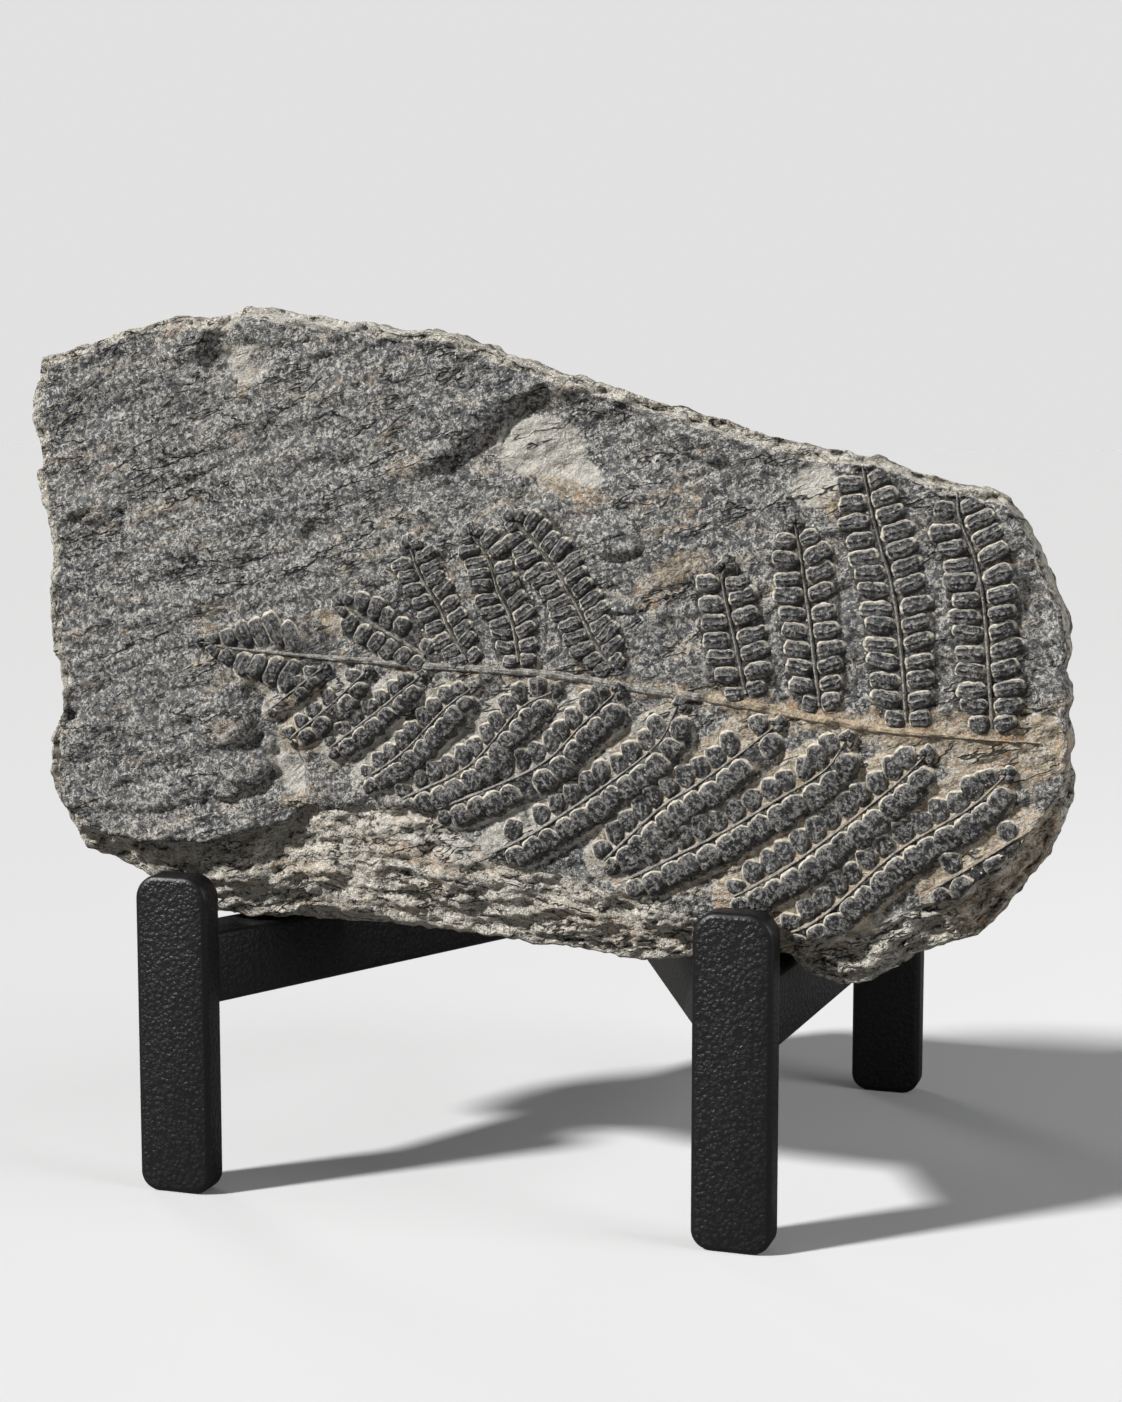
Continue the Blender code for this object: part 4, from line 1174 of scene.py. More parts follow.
    def ledges(self, places: np.ndarray, beyond: np.ndarray, rim: dict[str, np.ndarray]) -> Ledges:
        """Works out the broken ledges between the face and the silhouette.

        Args:
            places: The places of the front.
            beyond: How far each of them lies beyond the face.
            rim: The silhouette's lines.
        """
        across, up = places[:, 0], places[:, 2]
        flat = places * FLAT
        outline = np.vstack((rim["foot"], rim["right"], rim["top"][::-1], rim["left"][::-1]))
        off_face = np.maximum(beyond, 0.0)
        width = off_face + np.abs(from_line(across, up, outline)[0])
        share = np.clip(off_face / np.maximum(width, 0.01), 0.0, 1.0)
        steps = np.clip(np.round(width / self.ledge_width), 1.0, self.most_ledges)
        sway = lumps(flat * (0.7, 1.0, 1.0), 17.0, 1, 3) + 0.35 * lumps(flat, 4.0, 2, 2)
        bands = share * steps + sway * np.sin(np.pi * share)
        number = np.floor(bands)
        riser = smooth_step(bands - number, 0.68, 1.0)
        here, below = (lumps(np.stack((across, 23.0 * (number + step), 0.6 * up), axis=1), 11.0, 19, 3)
                       for step in (0, 1))
        jut = (here + (below - here) * riser) * np.sqrt(np.sin(np.pi * share)) * np.minimum(width / 8.0, 1.0)
        left = smooth_step(-across, 34.0, 48.0)
        undercut = self.undercut_foot + (self.undercut_left - self.undercut_foot) * left
        undercut = np.where(up < 110.0, undercut, self.undercut_foot)
        first = undercut * smooth_step(beyond, 0.0, 0.8)
        drop = np.clip(first + (1.0 - first) * (number + riser) / steps, 0.0, 1.05)
        return Ledges(bands, jut, drop, smooth_step(beyond, -0.2, 0.9))

    def relief_at(self, places: np.ndarray, slanted: np.ndarray, cover: np.ndarray) -> np.ndarray:
        """Returns how far the face stands out at each place, without what the frond adds.

        Args:
            places: The places of the front.
            slanted: The same places, drawn out along the stone's grain.
            cover: How far each place is in a side leaf, 0 to 1.
        """
        across, up = places[:, 0], places[:, 2]
        swell = 1.1 * lumps(places, 52.0, 3, 2) + 0.45 * lumps(places, 9.0, 4, 3)
        flakes = self.terraces(slanted, 11.0, 0.42, 9) + self.terraces(slanted, 4.2, 0.17, 10)
        relief = swell + (flakes + 0.18 * lumps(places, 1.9, 11, 2)) * (1.0 - 0.8 * cover) - 0.8
        relief += sum(form.spread(self.view, self.face_y, across, up) for form in self.FORMS)
        wander = 0.5 * lumps(places * FLAT, 3.0, 12, 2)
        for scarp in self.SCARPS:
            line = smooth_line(self.view.line(scarp.points, self.face_y), 6)
            distance, run, length = from_line(across, up, line)
            distance = distance + wander if scarp.reach > 2.5 else distance
            ends = smooth_step(np.minimum(run, length - run), 0.0, 2.5)
            low_side = distance if scarp.drop < 0 else -distance
            fall = smooth_step(low_side, -0.3, 0.5) * np.exp(-np.maximum(low_side, 0.0) / scarp.reach)
            relief -= abs(scarp.drop) * ends * fall
        return relief

    def from_stem(self, across: np.ndarray, up: np.ndarray) -> tuple[np.ndarray, np.ndarray]:
        """Returns each place's distance from the stem, and how far along it lies, 0 at the tip to 1."""
        line = smooth_line(self.view.line(STEM, self.face_y), 8)
        distance, run, length = from_line(across, up, line)
        return np.abs(distance), np.clip(run / length, 0.0, 1.0)

    def stains(self, places: np.ndarray, cover: np.ndarray, carbon: np.ndarray,
               broken: np.ndarray) -> tuple[np.ndarray, np.ndarray]:
        """Works out how much earthy film and how much pale scar each place carries.

        Args:
            places: The places of the front.
            cover: How far each place is in a side leaf, 0 to 1.
            carbon: Its share of carbon.
            broken: How far it is on the break, 0 to 1.
        """
        across, up = places[:, 0], places[:, 2]
        distance, east = self.from_stem(across, up)
        film = (0.35 + 0.6 * east) * np.exp(-(distance / (1.8 + 3.2 * east)) ** 2)
        film += sum(form.spread(self.view, self.face_y, across, up, (0.2, 1.25)) for form in self.FILMS)
        between = smooth_step(cover, 0.0, 0.1) * (1.0 - smooth_step(carbon, 0.3, 0.6))
        low_east = smooth_step(across, 10.0, 70.0) * (1.0 - smooth_step(up, 112.0, 128.0))
        film += between * (0.34 + 0.55 * low_east) + 0.22 * broken
        scar = sum(form.spread(self.view, self.face_y, across, up, (0.7, 1.1)) for form in self.SCARS)
        scar += 0.7 * between * (1.0 - smooth_step(up, 125.0, 138.0))
        return np.clip(film, 0.0, 1.0), np.clip(scar, 0.0, 1.0)

    def front(self) -> tuple[np.ndarray, dict[str, np.ndarray]]:
        """Works out the skin's front, from the face down its broken ledges to the silhouette.

        Returns:
            The grid's places, and the marks that the finish reads.
        """
        rim = self.rim_lines()
        u, w = grid_shares(self.cells_across, self.cells_up)
        places = self.patch(rim, u, w)
        across, up = places[:, 0], places[:, 2]
        beyond = self.beyond_face(places)
        ledges = self.ledges(places, beyond, rim)
        slanted = self.slanted(places)
        ground, cover, carbon = self.leaf_ground_at(across, up)
        relief = self.relief_at(places, slanted, cover) + ground
        relief += 0.35 * (1.0 - smooth_step(self.from_stem(across, up)[0], 1.0, 3.2))
        by_posts = self.face_y - self.post_depth - self.clearance
        limit = np.where(up < self.post_height + self.post_margin, by_posts, self.most_relief)
        rubble = 1.9 * ledges.jut + 0.7 * lumps(places, 7.0, 13, 3) + 0.35 * lumps(places, 2.2, 14, 2)
        rubble += self.terraces(places * (1.0, 1.0, 1.8), 8.0, 0.6, 20)
        face = self.face_y - np.minimum(relief, limit) * (1.0 - 0.85 * ledges.broken)
        film, scar = self.stains(places, cover, carbon, ledges.broken)
        beds = np.where(beyond > 0.0, ledges.bands, self.bed_levels(slanted, 11.0, 9))
        marks = {"film": film, "scar": scar, "carbon": carbon * (1.0 - ledges.broken),
                 "ledge": ledges.broken, "on_face": 1.0 - ledges.broken, "bed": beds}
        inner = from_border(u, w)
        settle = smooth_step(inner, 0.0, 0.012)
        rim_depth = places[:, 1].copy()
        fallen = (rim_depth - self.face_y) * ledges.drop
        broken = face * settle + self.face_y * (1 - settle) + fallen - rubble * ledges.broken * settle
        places[:, 1] = np.where(inner < 1e-6, rim_depth, broken)
        return places, marks

    def keep_clear(self, places: np.ndarray) -> np.ndarray:
        """Returns the places with those that would touch the rails or the front posts moved clear."""
        across, deep = places[:, 0], places[:, 1]
        slant = math.tan(self.rail_angle) * (deep - self.post_depth)
        half = self.rail_width / math.cos(self.rail_angle) / 2 + self.rail_margin
        lean = (self.rear_post[0] - self.post_spacing / 2) / (self.rear_post[1] - self.post_depth)
        seat = ((np.abs(across + self.post_spacing / 2 - slant) < half)
                | (np.abs(across - self.post_spacing / 2 + slant) < half)
                | (np.abs(across - self.post_spacing / 2 - lean * (deep - self.post_depth)) < half))
        floor = self.rail_top + self.clearance
        places[:, 2] = np.where(seat, np.maximum(places[:, 2], floor), places[:, 2])
        low = places[:, 2] < self.post_height + self.post_margin
        places[:, 1] = np.where(low, np.maximum(places[:, 1], self.post_depth + self.clearance), places[:, 1])
        return places

    def side_rings(self, front: np.ndarray) -> np.ndarray:
        """Returns the places of the slab's sides, ring by ring from the silhouette back.

        Args:
            front: The places of the front grid.
        """
        rim = self.rim_lines()
        middle, back = self.rear_lines(rim, 0.6, 0.25), self.rear_lines(rim, 1.0, 1.0)
        border = grid_border(grid_corners(self.cells_across, self.cells_up))
        u, w = (shares[border] for shares in grid_shares(self.cells_across, self.cells_up))
        near = front[border]
        centre, far = self.patch(middle, u, w), self.patch(back, u, w)
        outward = near - near.mean(axis=0)
        outward[:, 1] = 0.0
        outward /= np.linalg.norm(outward, axis=1)[:, None]
        rings = []
        for ring in range(1, self.cells_deep + 1):
            deep = ring / (self.cells_deep + 0.5)
            place = near + (centre - near) * min(deep * 2.0, 1.0)
            place = place + (far - centre) * max(deep * 2.0 - 1.0, 0.0)
            bed = np.floor(place[:, 1] / self.bed)
            ragged = lumps(np.stack((place[:, 0], bed * 31.0, place[:, 2]), axis=1), 13.0, 2)
            ragged += 0.4 * lumps(place, 3.0, 15, 2)
            fade = math.sin(math.pi * min(0.15 + deep, 1.0)) ** 0.5 if deep < 0.85 else 0.4
            rings.append(self.keep_clear(place + outward * (1.2 * fade * ragged)[:, None]))
        return np.vstack(rings)

    def back(self) -> np.ndarray:
        """Returns the places of the back's coarser grid."""
        u, w = grid_shares(self.cells_across // self.coarser, self.cells_up // self.coarser)
        places = self.patch(self.rear_lines(self.rim_lines(), 1.0, 1.0), u, w)
        swell = 2.8 * lumps(places, 64.0, 5, 3)
        beds = np.floor(swell / self.bed * 2.0 + 0.5) * self.bed / 2.0
        bulge = 0.6 * swell + 0.4 * beds + 0.9 * lumps(places, 16.0, 6, 2)
        bulge += self.terraces(places, 30.0, 1.9, 16)
        bulge += 0.5 * lumps(places, 5.5, 17, 2)
        places[:, 1] += bulge * smooth_step(from_border(u, w), 0.0, 0.05)
        return self.keep_clear(places)

    def skin_faces(self) -> list[tuple[int, ...]]:
        """Returns the skin's faces, all pointing outwards."""
        corner = grid_corners(self.cells_across, self.cells_up)
        faces = grid_faces(corner)
        ring = grid_border(corner)
        count = len(ring)
        start = corner.size
        for _ in range(self.cells_deep):
            deeper = start + np.arange(count)
            faces += np.stack((ring, deeper, np.roll(deeper, -1), np.roll(ring, -1)), -1).tolist()
            ring = deeper
            start += count
        rear = start + grid_corners(self.cells_across // self.coarser, self.cells_up // self.coarser)
        faces += grid_faces(rear.T)
        rear_border = grid_border(rear)
        for number, (this, following) in enumerate(zip(rear_border, np.roll(rear_border, -1))):
            fine = [int(ring[(number * self.coarser + step) % count]) for step in range(self.coarser, -1, -1)]
            faces.append((fine[-1], int(this), int(following), *fine[:-1]))
        return faces

    def build(self, material: Material) -> bpy.types.Object:
        """Builds the slab's skin.

        Args:
            material: Its finish.
        """
        front, marks = self.front()
        front = self.keep_clear(front)
        sides = self.side_rings(front)
        back = self.back()
        rest = len(sides) + len(back)
        patchy = 0.3 + 0.35 * lumps(np.vstack((sides, back)), 24.0, 18, 3)
        ends = {"film": np.clip(patchy, 0.0, 0.8), "scar": np.zeros(rest), "carbon": np.zeros(rest),
                "ledge": np.full(rest, 0.75), "on_face": np.zeros(rest),
                "bed": np.vstack((sides, back))[:, 1] / self.bed}
        ends["ledge"][len(sides):] = 0.45
        marks = {name: np.concatenate((values, ends[name])) for name, values in marks.items()}
        places = self.frame.metres(np.vstack((front, sides, back)))
        slab = piece_from("shale_slab", places, self.skin_faces(), material, marks)
        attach(slab, BODY)
        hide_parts("fossil_slab")
        return slab


def drape(sheet: NodeSheet, geometry: Socket,
          stone: Socket) -> Socket:
    """Lays flat geometry on the stone's face: its own -y becomes its height above the stone.

    Args:
        sheet: The sheet of the tree that the nodes go into.
        geometry: What is laid.
        stone: The slab's object.

    Returns:
        The geometry on the stone, without what would lie beyond the face.
    """
    ground = sheet.add("GeometryNodeObjectInfo", stone, transform_space="RELATIVE").outputs["Geometry"]
    own = sheet.add("ShaderNodeSeparateXYZ", sheet.add("GeometryNodeInputPosition").outputs[0]).outputs
    source = sheet.add("ShaderNodeCombineXYZ", own["X"], -0.5, own["Z"]).outputs[0]
    ray = sheet.add("GeometryNodeRaycast", data_type="FLOAT", Target_Geometry=ground,
                    Attribute=sheet.stored("on_face"), Source_Position=source,
                    Ray_Direction=(0.0, 1.0, 0.0), Ray_Length=2.0).outputs
    hit = sheet.add("ShaderNodeSeparateXYZ", ray["Hit Position"]).outputs["Y"]
    place = sheet.add("ShaderNodeCombineXYZ", own["X"], sheet.math("ADD", hit, own["Y"]), own["Z"]).outputs[0]
    kept = sheet.store(geometry, "beyond", sheet.math("LESS_THAN", ray["Attribute"], 0.5))
    laid = sheet.add("GeometryNodeSetPosition", kept, None, place).outputs[0]
    gone = sheet.math("GREATER_THAN", sheet.stored("beyond"), 0.5)
    return sheet.add("GeometryNodeDeleteGeometry", laid, gone, domain="POINT").outputs[0]


@dataclass(frozen=True)
class LeafletRow:
    """One of the rows that a leaf's leaflets stand in, or the single leaflet at the leaf's end.

    The side is -1 or 1, and the turn puts the leaflets on that side. A turn of None is the leaf's end. More
    width is added to the leaflets' width as a share of their pitch, and more reach scales their reach. On a
    leaf with a fused row, the fused values are added to their lean and width, and scale their reach as well.
    """

    side: float
    turn: float | None
    fused_lean: float = 0.0
    fused_width: float = 0.1
    fused_reach: float = 1.0
    more_width: float = 0.0
    more_reach: float = 1.0


@dataclass(frozen=True)
class Ridge:
    """A raised line on the stone: half width and height in millimetres, cells across, share of bare stone."""

    half: float
    height: float
    across: int
    bare: float


@dataclass
class Frond:
    """The frond: leaflets in two rows on each side leaf, and the raised lines of stem and leaf axes."""

    view: FaceView
    frame: StandFrame
    slab: ShaleSlab
    leaflet_height: float = 1.15
    ridge_step: float = 0.5
    # The way that the leaflets' painted highlight faces; flanks turned from it get painted shade.
    painted_light_side: tuple[float, float, float] = (-0.64, 0.0, 0.77)
    leaflet_cells: int = 8
    stem_ridge: Ridge = Ridge(0.95, 0.8, 8, 0.0)
    axis_ridge: Ridge = Ridge(0.38, 0.8, 4, 0.15)
    seed: int = 11

    ROWS = (
        LeafletRow(-1.0, 0.0, fused_width=0.42),
        LeafletRow(1.0, math.pi, fused_lean=math.radians(20.0), fused_reach=0.95),
        LeafletRow(0.0, None, more_width=0.35, more_reach=1.25),
    )

    def leaflet_shape(self, form: LeafletForm) -> bpy.types.Object:
        """Makes the flat-lying shape of a leaflet, one unit long and wide, that the tree repeats.

        Args:
            form: The leaflet's form.
        """
        roundness = 0.74 if form is LeafletForm.LOAF else 0.95
        u, w = grid_shares(self.leaflet_cells, self.leaflet_cells)
        a, b = 2 * u - 1, 2 * w - 1
        x = a * np.sqrt(1 - roundness * b**2 / 2)
        z = b * np.sqrt(1 - roundness * a**2 / 2)
        scale = 1.0 / math.sqrt(1 - roundness / 2) if form is LeafletForm.LOAF else 1.0
        x *= min(scale, 1.0)
        if form is LeafletForm.ROUND:
            x *= 1.06 + 0.16 * z
        edge = np.maximum(np.abs(a), np.abs(b))
        dome = np.sqrt(np.clip(1 - np.abs(a) ** 2.4, 0, 1)) * np.sqrt(np.clip(1 - np.abs(b) ** 3.2, 0, 1))
        height = np.where(edge > 0.99, -0.12, 0.16 + 0.84 * dome)
        places = np.stack((x * 0.5, -height * self.leaflet_height * MM, 0.06 + 0.47 * (z + 1)), axis=-1)
        faces = grid_faces(grid_corners(self.leaflet_cells, self.leaflet_cells))
        marks = {"rim": np.where(edge > 0.99, 1.0, 0.0), "lane": a}
        return piece_from(f"{form.name.lower()}_leaflet_shape", places, faces, None, marks)

    def axes(self) -> bpy.types.Object:
        """Makes the leaves' axes as lines in the plane y = 0, marked with their leaflets' sizes."""
        places, edges = [], []
        marks: dict[str, list[float]] = {"reach": []}
        for leaf in SIDE_LEAVES:
            line = smooth_line(self.view.line(leaf.points, self.slab.face_y), 12)
            run = run_along(line)
            start = len(places)
            places += (self.frame.metres(line) * FLAT).tolist()
            edges += [(start + step, start + step + 1) for step in range(len(line) - 1)]
            marks["reach"] += list(leaf.reach(run, run[-1]) * MM)
            values = {"pitch": leaf.pitch * MM, "lean": math.radians(leaf.lean), "form": leaf.form.value,
                      "worn": leaf.worn, "fused": float(leaf.ridged), "extra": leaf.extra}
            for name, value in values.items():
                marks.setdefault(name, []).extend([value] * len(line))
        mesh = bpy.data.meshes.new("frond_leaflets")
        mesh.from_pydata(places, edges, [])
        set_marks(mesh, marks)
        return add_object("frond_leaflets", mesh)

    def leaflet_tree(self) -> NodeTree:
        """Builds the tree that sets leaflets on both sides of the axes and lays them on the stone."""
        tree = bpy.data.node_groups.new("leaflets along axes", "GeometryNodeTree")
        for name, kind in (("Axes", "NodeSocketGeometry"), ("Stone", "NodeSocketObject"),
                           ("Loaf shape", "NodeSocketObject"), ("Round shape", "NodeSocketObject"),
                           ("Finish", "NodeSocketMaterial"), ("Seed", "NodeSocketInt")):
            tree.interface.new_socket(name, in_out="INPUT", socket_type=kind)
        tree.interface.new_socket("Leaflets", in_out="OUTPUT", socket_type="NodeSocketGeometry")
        sheet = NodeSheet(tree)
        given = sheet.add("NodeGroupInput").outputs
        seed = given["Seed"]

        def chance(low: float, high: float, step: int) -> Socket:
            """Returns a value that differs from leaflet to leaflet."""
            node = sheet.add("FunctionNodeRandomValue", low, high, data_type="FLOAT",
                             Seed=sheet.math("ADD", seed, float(step)))
            return next(socket for socket in node.outputs if socket.enabled)

        mark = sheet.stored
        curves = sheet.add("GeometryNodeMeshToCurve", given["Axes"]).outputs[0]
        path = sheet.add("GeometryNodeResampleCurve", curves, mode="LENGTH", Length=mark("pitch")).outputs[0]
        tangent = sheet.add("ShaderNodeSeparateXYZ", sheet.add("GeometryNodeInputTangent").outputs[0]).outputs
        ahead, up = tangent["X"], sheet.math("MULTIPLY", tangent["Z"], -1.0)
        turn = sheet.math("ARCTAN2", up, ahead)
        tip_turn = sheet.math("ARCTAN2", sheet.math("MULTIPLY", ahead, -1.0), up)
        is_tip = sheet.add("GeometryNodeCurveEndpointSelection", 1, 0).outputs[0]
        joined = sheet.add("GeometryNodeJoinGeometry")
        for number, row in enumerate(self.ROWS):
            fused = mark("fused")
            if row.turn is None:
                angle, there = tip_turn, is_tip
            else:
                lean = sheet.math("MULTIPLY_ADD", mark("lean"), row.side, chance(-0.13, 0.13, 3 + number))
                lean = sheet.math("MULTIPLY_ADD", fused, row.fused_lean, lean)
                angle = sheet.math("ADD", sheet.math("ADD", turn, row.turn), lean)
                lost = sheet.math("MULTIPLY", mark("worn"), 0.5)
                there = sheet.math("GREATER_THAN", chance(0.0, 1.0, 15 + number), lost)
            angles = sheet.add("ShaderNodeCombineXYZ", 0.0, angle, 0.0).outputs[0]
            rotation = sheet.add("FunctionNodeEulerToRotation", angles).outputs[0]
            share = sheet.math("ADD", mark("extra"), chance(0.92, 1.06, 6 + number))
            share = sheet.math("MULTIPLY_ADD", fused, row.fused_width, share)
            width = sheet.math("MULTIPLY", mark("pitch"), sheet.math("ADD", share, row.more_width))
            reach = sheet.math("MULTIPLY", mark("reach"), chance(0.84, 1.06, 9 + number))
            reach = sheet.math("MULTIPLY", reach, row.more_reach)
            reach = sheet.math("MULTIPLY", reach, sheet.rise(fused, 0.0, 1.0, 1.0, row.fused_reach))
            width = sheet.math("MINIMUM", width, sheet.math("MULTIPLY", reach, 1.15))
            size = sheet.add("ShaderNodeCombineXYZ", width, chance(0.75, 1.15, 12 + number), reach).outputs[0]
            for shape, value in (("Loaf shape", 0.0), ("Round shape", 1.0)):
                chosen = sheet.math("COMPARE", mark("form"), value, 0.4)
                instance = sheet.add("GeometryNodeObjectInfo", given[shape], True,
                                     transform_space="ORIGINAL").outputs["Geometry"]
                chosen = sheet.math("MULTIPLY", there, chosen)
                placed = sheet.add("GeometryNodeInstanceOnPoints", path, chosen, instance, Rotation=rotation,
                                   Scale=size).outputs[0]
                tree.links.new(placed, joined.inputs[0])
        toned = sheet.store(joined.outputs[0], "tone", chance(0.0, 1.0, 20), "INSTANCE")
        real = sheet.add("GeometryNodeRealizeInstances", toned).outputs[0]
        # How far each face of a leaflet turns to the upper left, which the leaflets' finish turns into painted
        # highlight and painted shade.
        facing = sheet.add("ShaderNodeVectorMath", sheet.add("GeometryNodeInputNormal").outputs[0],
                           self.painted_light_side, operation="DOT_PRODUCT").outputs["Value"]
        real = sheet.store(real, "light_facing", facing)
        where = sheet.add("GeometryNodeInputPosition").outputs[0]
        bent = sheet.vector("MULTIPLY", sheet.sway(where, 330.0, 2.0, 0.6), (1.9 * MM, 0.0, 1.9 * MM))
        worn_down = sheet.rise(sheet.noise(where, 120.0, 2.0, 0.6), 0.32, 0.68, 0.45, 1.3)
        scaled = sheet.add("ShaderNodeCombineXYZ", 1.0, worn_down, 1.0).outputs[0]
        uneven = sheet.vector("MULTIPLY_ADD", where, scaled, bent)
        shaped = sheet.add("GeometryNodeSetPosition", real, None, uneven).outputs[0]
        laid = drape(sheet, shaped, given["Stone"])
        dressed = sheet.add("GeometryNodeSetMaterial", laid, None, given["Finish"]).outputs[0]
        sheet.add("NodeGroupOutput", dressed)
        return tree

    def build_leaflets(self, stone: bpy.types.Object, material: Material) -> bpy.types.Object:
        """Builds the leaflets as one mesh on the slab.

        Args:
            stone: The slab that they lie on.
            material: Their finish.
        """
        shapes = [self.leaflet_shape(form) for form in LeafletForm]
        piece = self.axes()
        tree = self.leaflet_tree()
        modifier = piece.modifiers.new("leaflets", "NODES")
        modifier.node_group = tree
        sockets = {item.name: item.identifier for item in tree.interface.items_tree}
        for name, value in (("Stone", stone), ("Loaf shape", shapes[0]), ("Round shape", shapes[1]),
                            ("Finish", material), ("Seed", self.seed)):
            modifier[sockets[name]] = value
        return finish_nodes(piece, shapes, material)

    @staticmethod
    def ribbon(line: np.ndarray, half: np.ndarray, ridge: Ridge,
               tree: BVHTree) -> tuple[np.ndarray, list, np.ndarray]:
        """Makes one rounded ridge that lies on the stone along a line.

        Args:
            line: The line's places in millimetres.
            half: The ridge's half width at each of them.
            ridge: The ridge's height and cells.
            tree: The slab's faces, in millimetres.

        Returns:
            Its places, its faces and where each place lies across it, -1 to 1.
        """
        way = np.gradient(line, axis=0)[:, [0, 2]]
        way /= np.linalg.norm(way, axis=1)[:, None]
        lanes = np.linspace(-1.0, 1.0, ridge.across + 1)
        places = []
        for place, (dx, dz), width in zip(line, way, half):
            for lane in lanes:
                x = place[0] - dz * lane * width
                z = place[2] + dx * lane * width
                hit = tree.ray_cast(Vector((x, -500.0, z)), Vector((0.0, 1.0, 0.0)))[0]
                ground = hit.y if hit is not None else place[1]
                lift = ridge.height * (1.0 - lane * lane) ** 0.7 if abs(lane) < 1.0 else -0.2
                lift *= 1.0 + 0.7 * noise.noise(Vector((x, 0.0, z)) / 2.2)
                places.append((x, ground - lift, z))
        faces = grid_faces(grid_corners(len(line) - 1, ridge.across))
        return np.array(places), faces, np.tile(lanes, len(line))

    def build_ridges(self, stone: bpy.types.Object, material: Material) -> bpy.types.Object:
        """Builds the stem and the leaves' axes as raised lines on the slab.

        Args:
            stone: The slab that they lie on.
            material: Their finish.
        """
        places = self.frame.millimetres(np.array([vertex.co[:] for vertex in stone.data.vertices]))
        tree = BVHTree.FromPolygons(places.tolist(), [tuple(face.vertices) for face in stone.data.polygons])
        parts, faces, lanes, films, bares = [], [], [], [], []
        lines = [(STEM, self.stem_ridge)] + [(leaf.points, self.axis_ridge) for leaf in SIDE_LEAVES]
        count = 0
        for points, ridge in lines:
            fine = smooth_line(self.view.line(points, self.slab.face_y), 24)
            share = np.linspace(0.0, 1.0, int(run_along(fine)[-1] / self.ridge_step) + 2)
            fine = along(fine, share)
            if ridge is self.stem_ridge:
                width = (0.85 + 0.45 * share) * (1.0 - 0.95 * smooth_step(share, 0.75, 1.0))
                width *= 0.3 + 0.7 * smooth_step(share, 0.0, 0.12)
                film = smooth_step(share, 0.35, 0.8)
            else:
                width = (0.7 + 0.6 * share) * smooth_step(share, -0.15, 0.1)
                east = smooth_step(fine[:, 0], 20.0, 90.0)
                film = 0.1 + 0.4 * east * smooth_step(-fine[:, 2], -132.0, -110.0)
            width *= ridge.half * (1.0 + 0.25 * lumps(fine, 4.0, 21 + len(parts), 2))
            ribbon, ribbon_faces, ribbon_lanes = self.ribbon(fine, width, ridge, tree)
            faces += [[corner + count for corner in face] for face in ribbon_faces]
            count += len(ribbon)
            parts.append(ribbon)
            lanes.append(ribbon_lanes)
            films.append(np.repeat(film, ridge.across + 1))
            bares.append(np.full(len(ribbon), ridge.bare))
        piece = piece_from("frond_stem", self.frame.metres(np.vstack(parts)), faces, material,
                           {"lane": np.concatenate(lanes), "film": np.concatenate(films),
                            "bare": np.concatenate(bares)})
        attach(piece, BODY)
        return piece


def finish_nodes(piece: bpy.types.Object, helpers: list[bpy.types.Object],
                 material: Material) -> bpy.types.Object:
    """Turns a piece's node tree into a plain mesh and takes away what only the tree used.

    Args:
        piece: The piece with its modifier.
        helpers: The shapes that the tree repeated.
        material: The piece's finish.
    """
    bpy.context.view_layer.update()
    evaluated = piece.evaluated_get(bpy.context.evaluated_depsgraph_get())
    mesh = bpy.data.meshes.new_from_object(evaluated)
    piece.modifiers.clear()
    piece.data = mesh
    mesh.name = piece.name
    mesh.materials.clear()
    mesh.materials.append(material)
    mesh.shade_smooth()
    for helper in helpers:
        bpy.data.objects.remove(helper)
    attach(piece, BODY)
    return piece


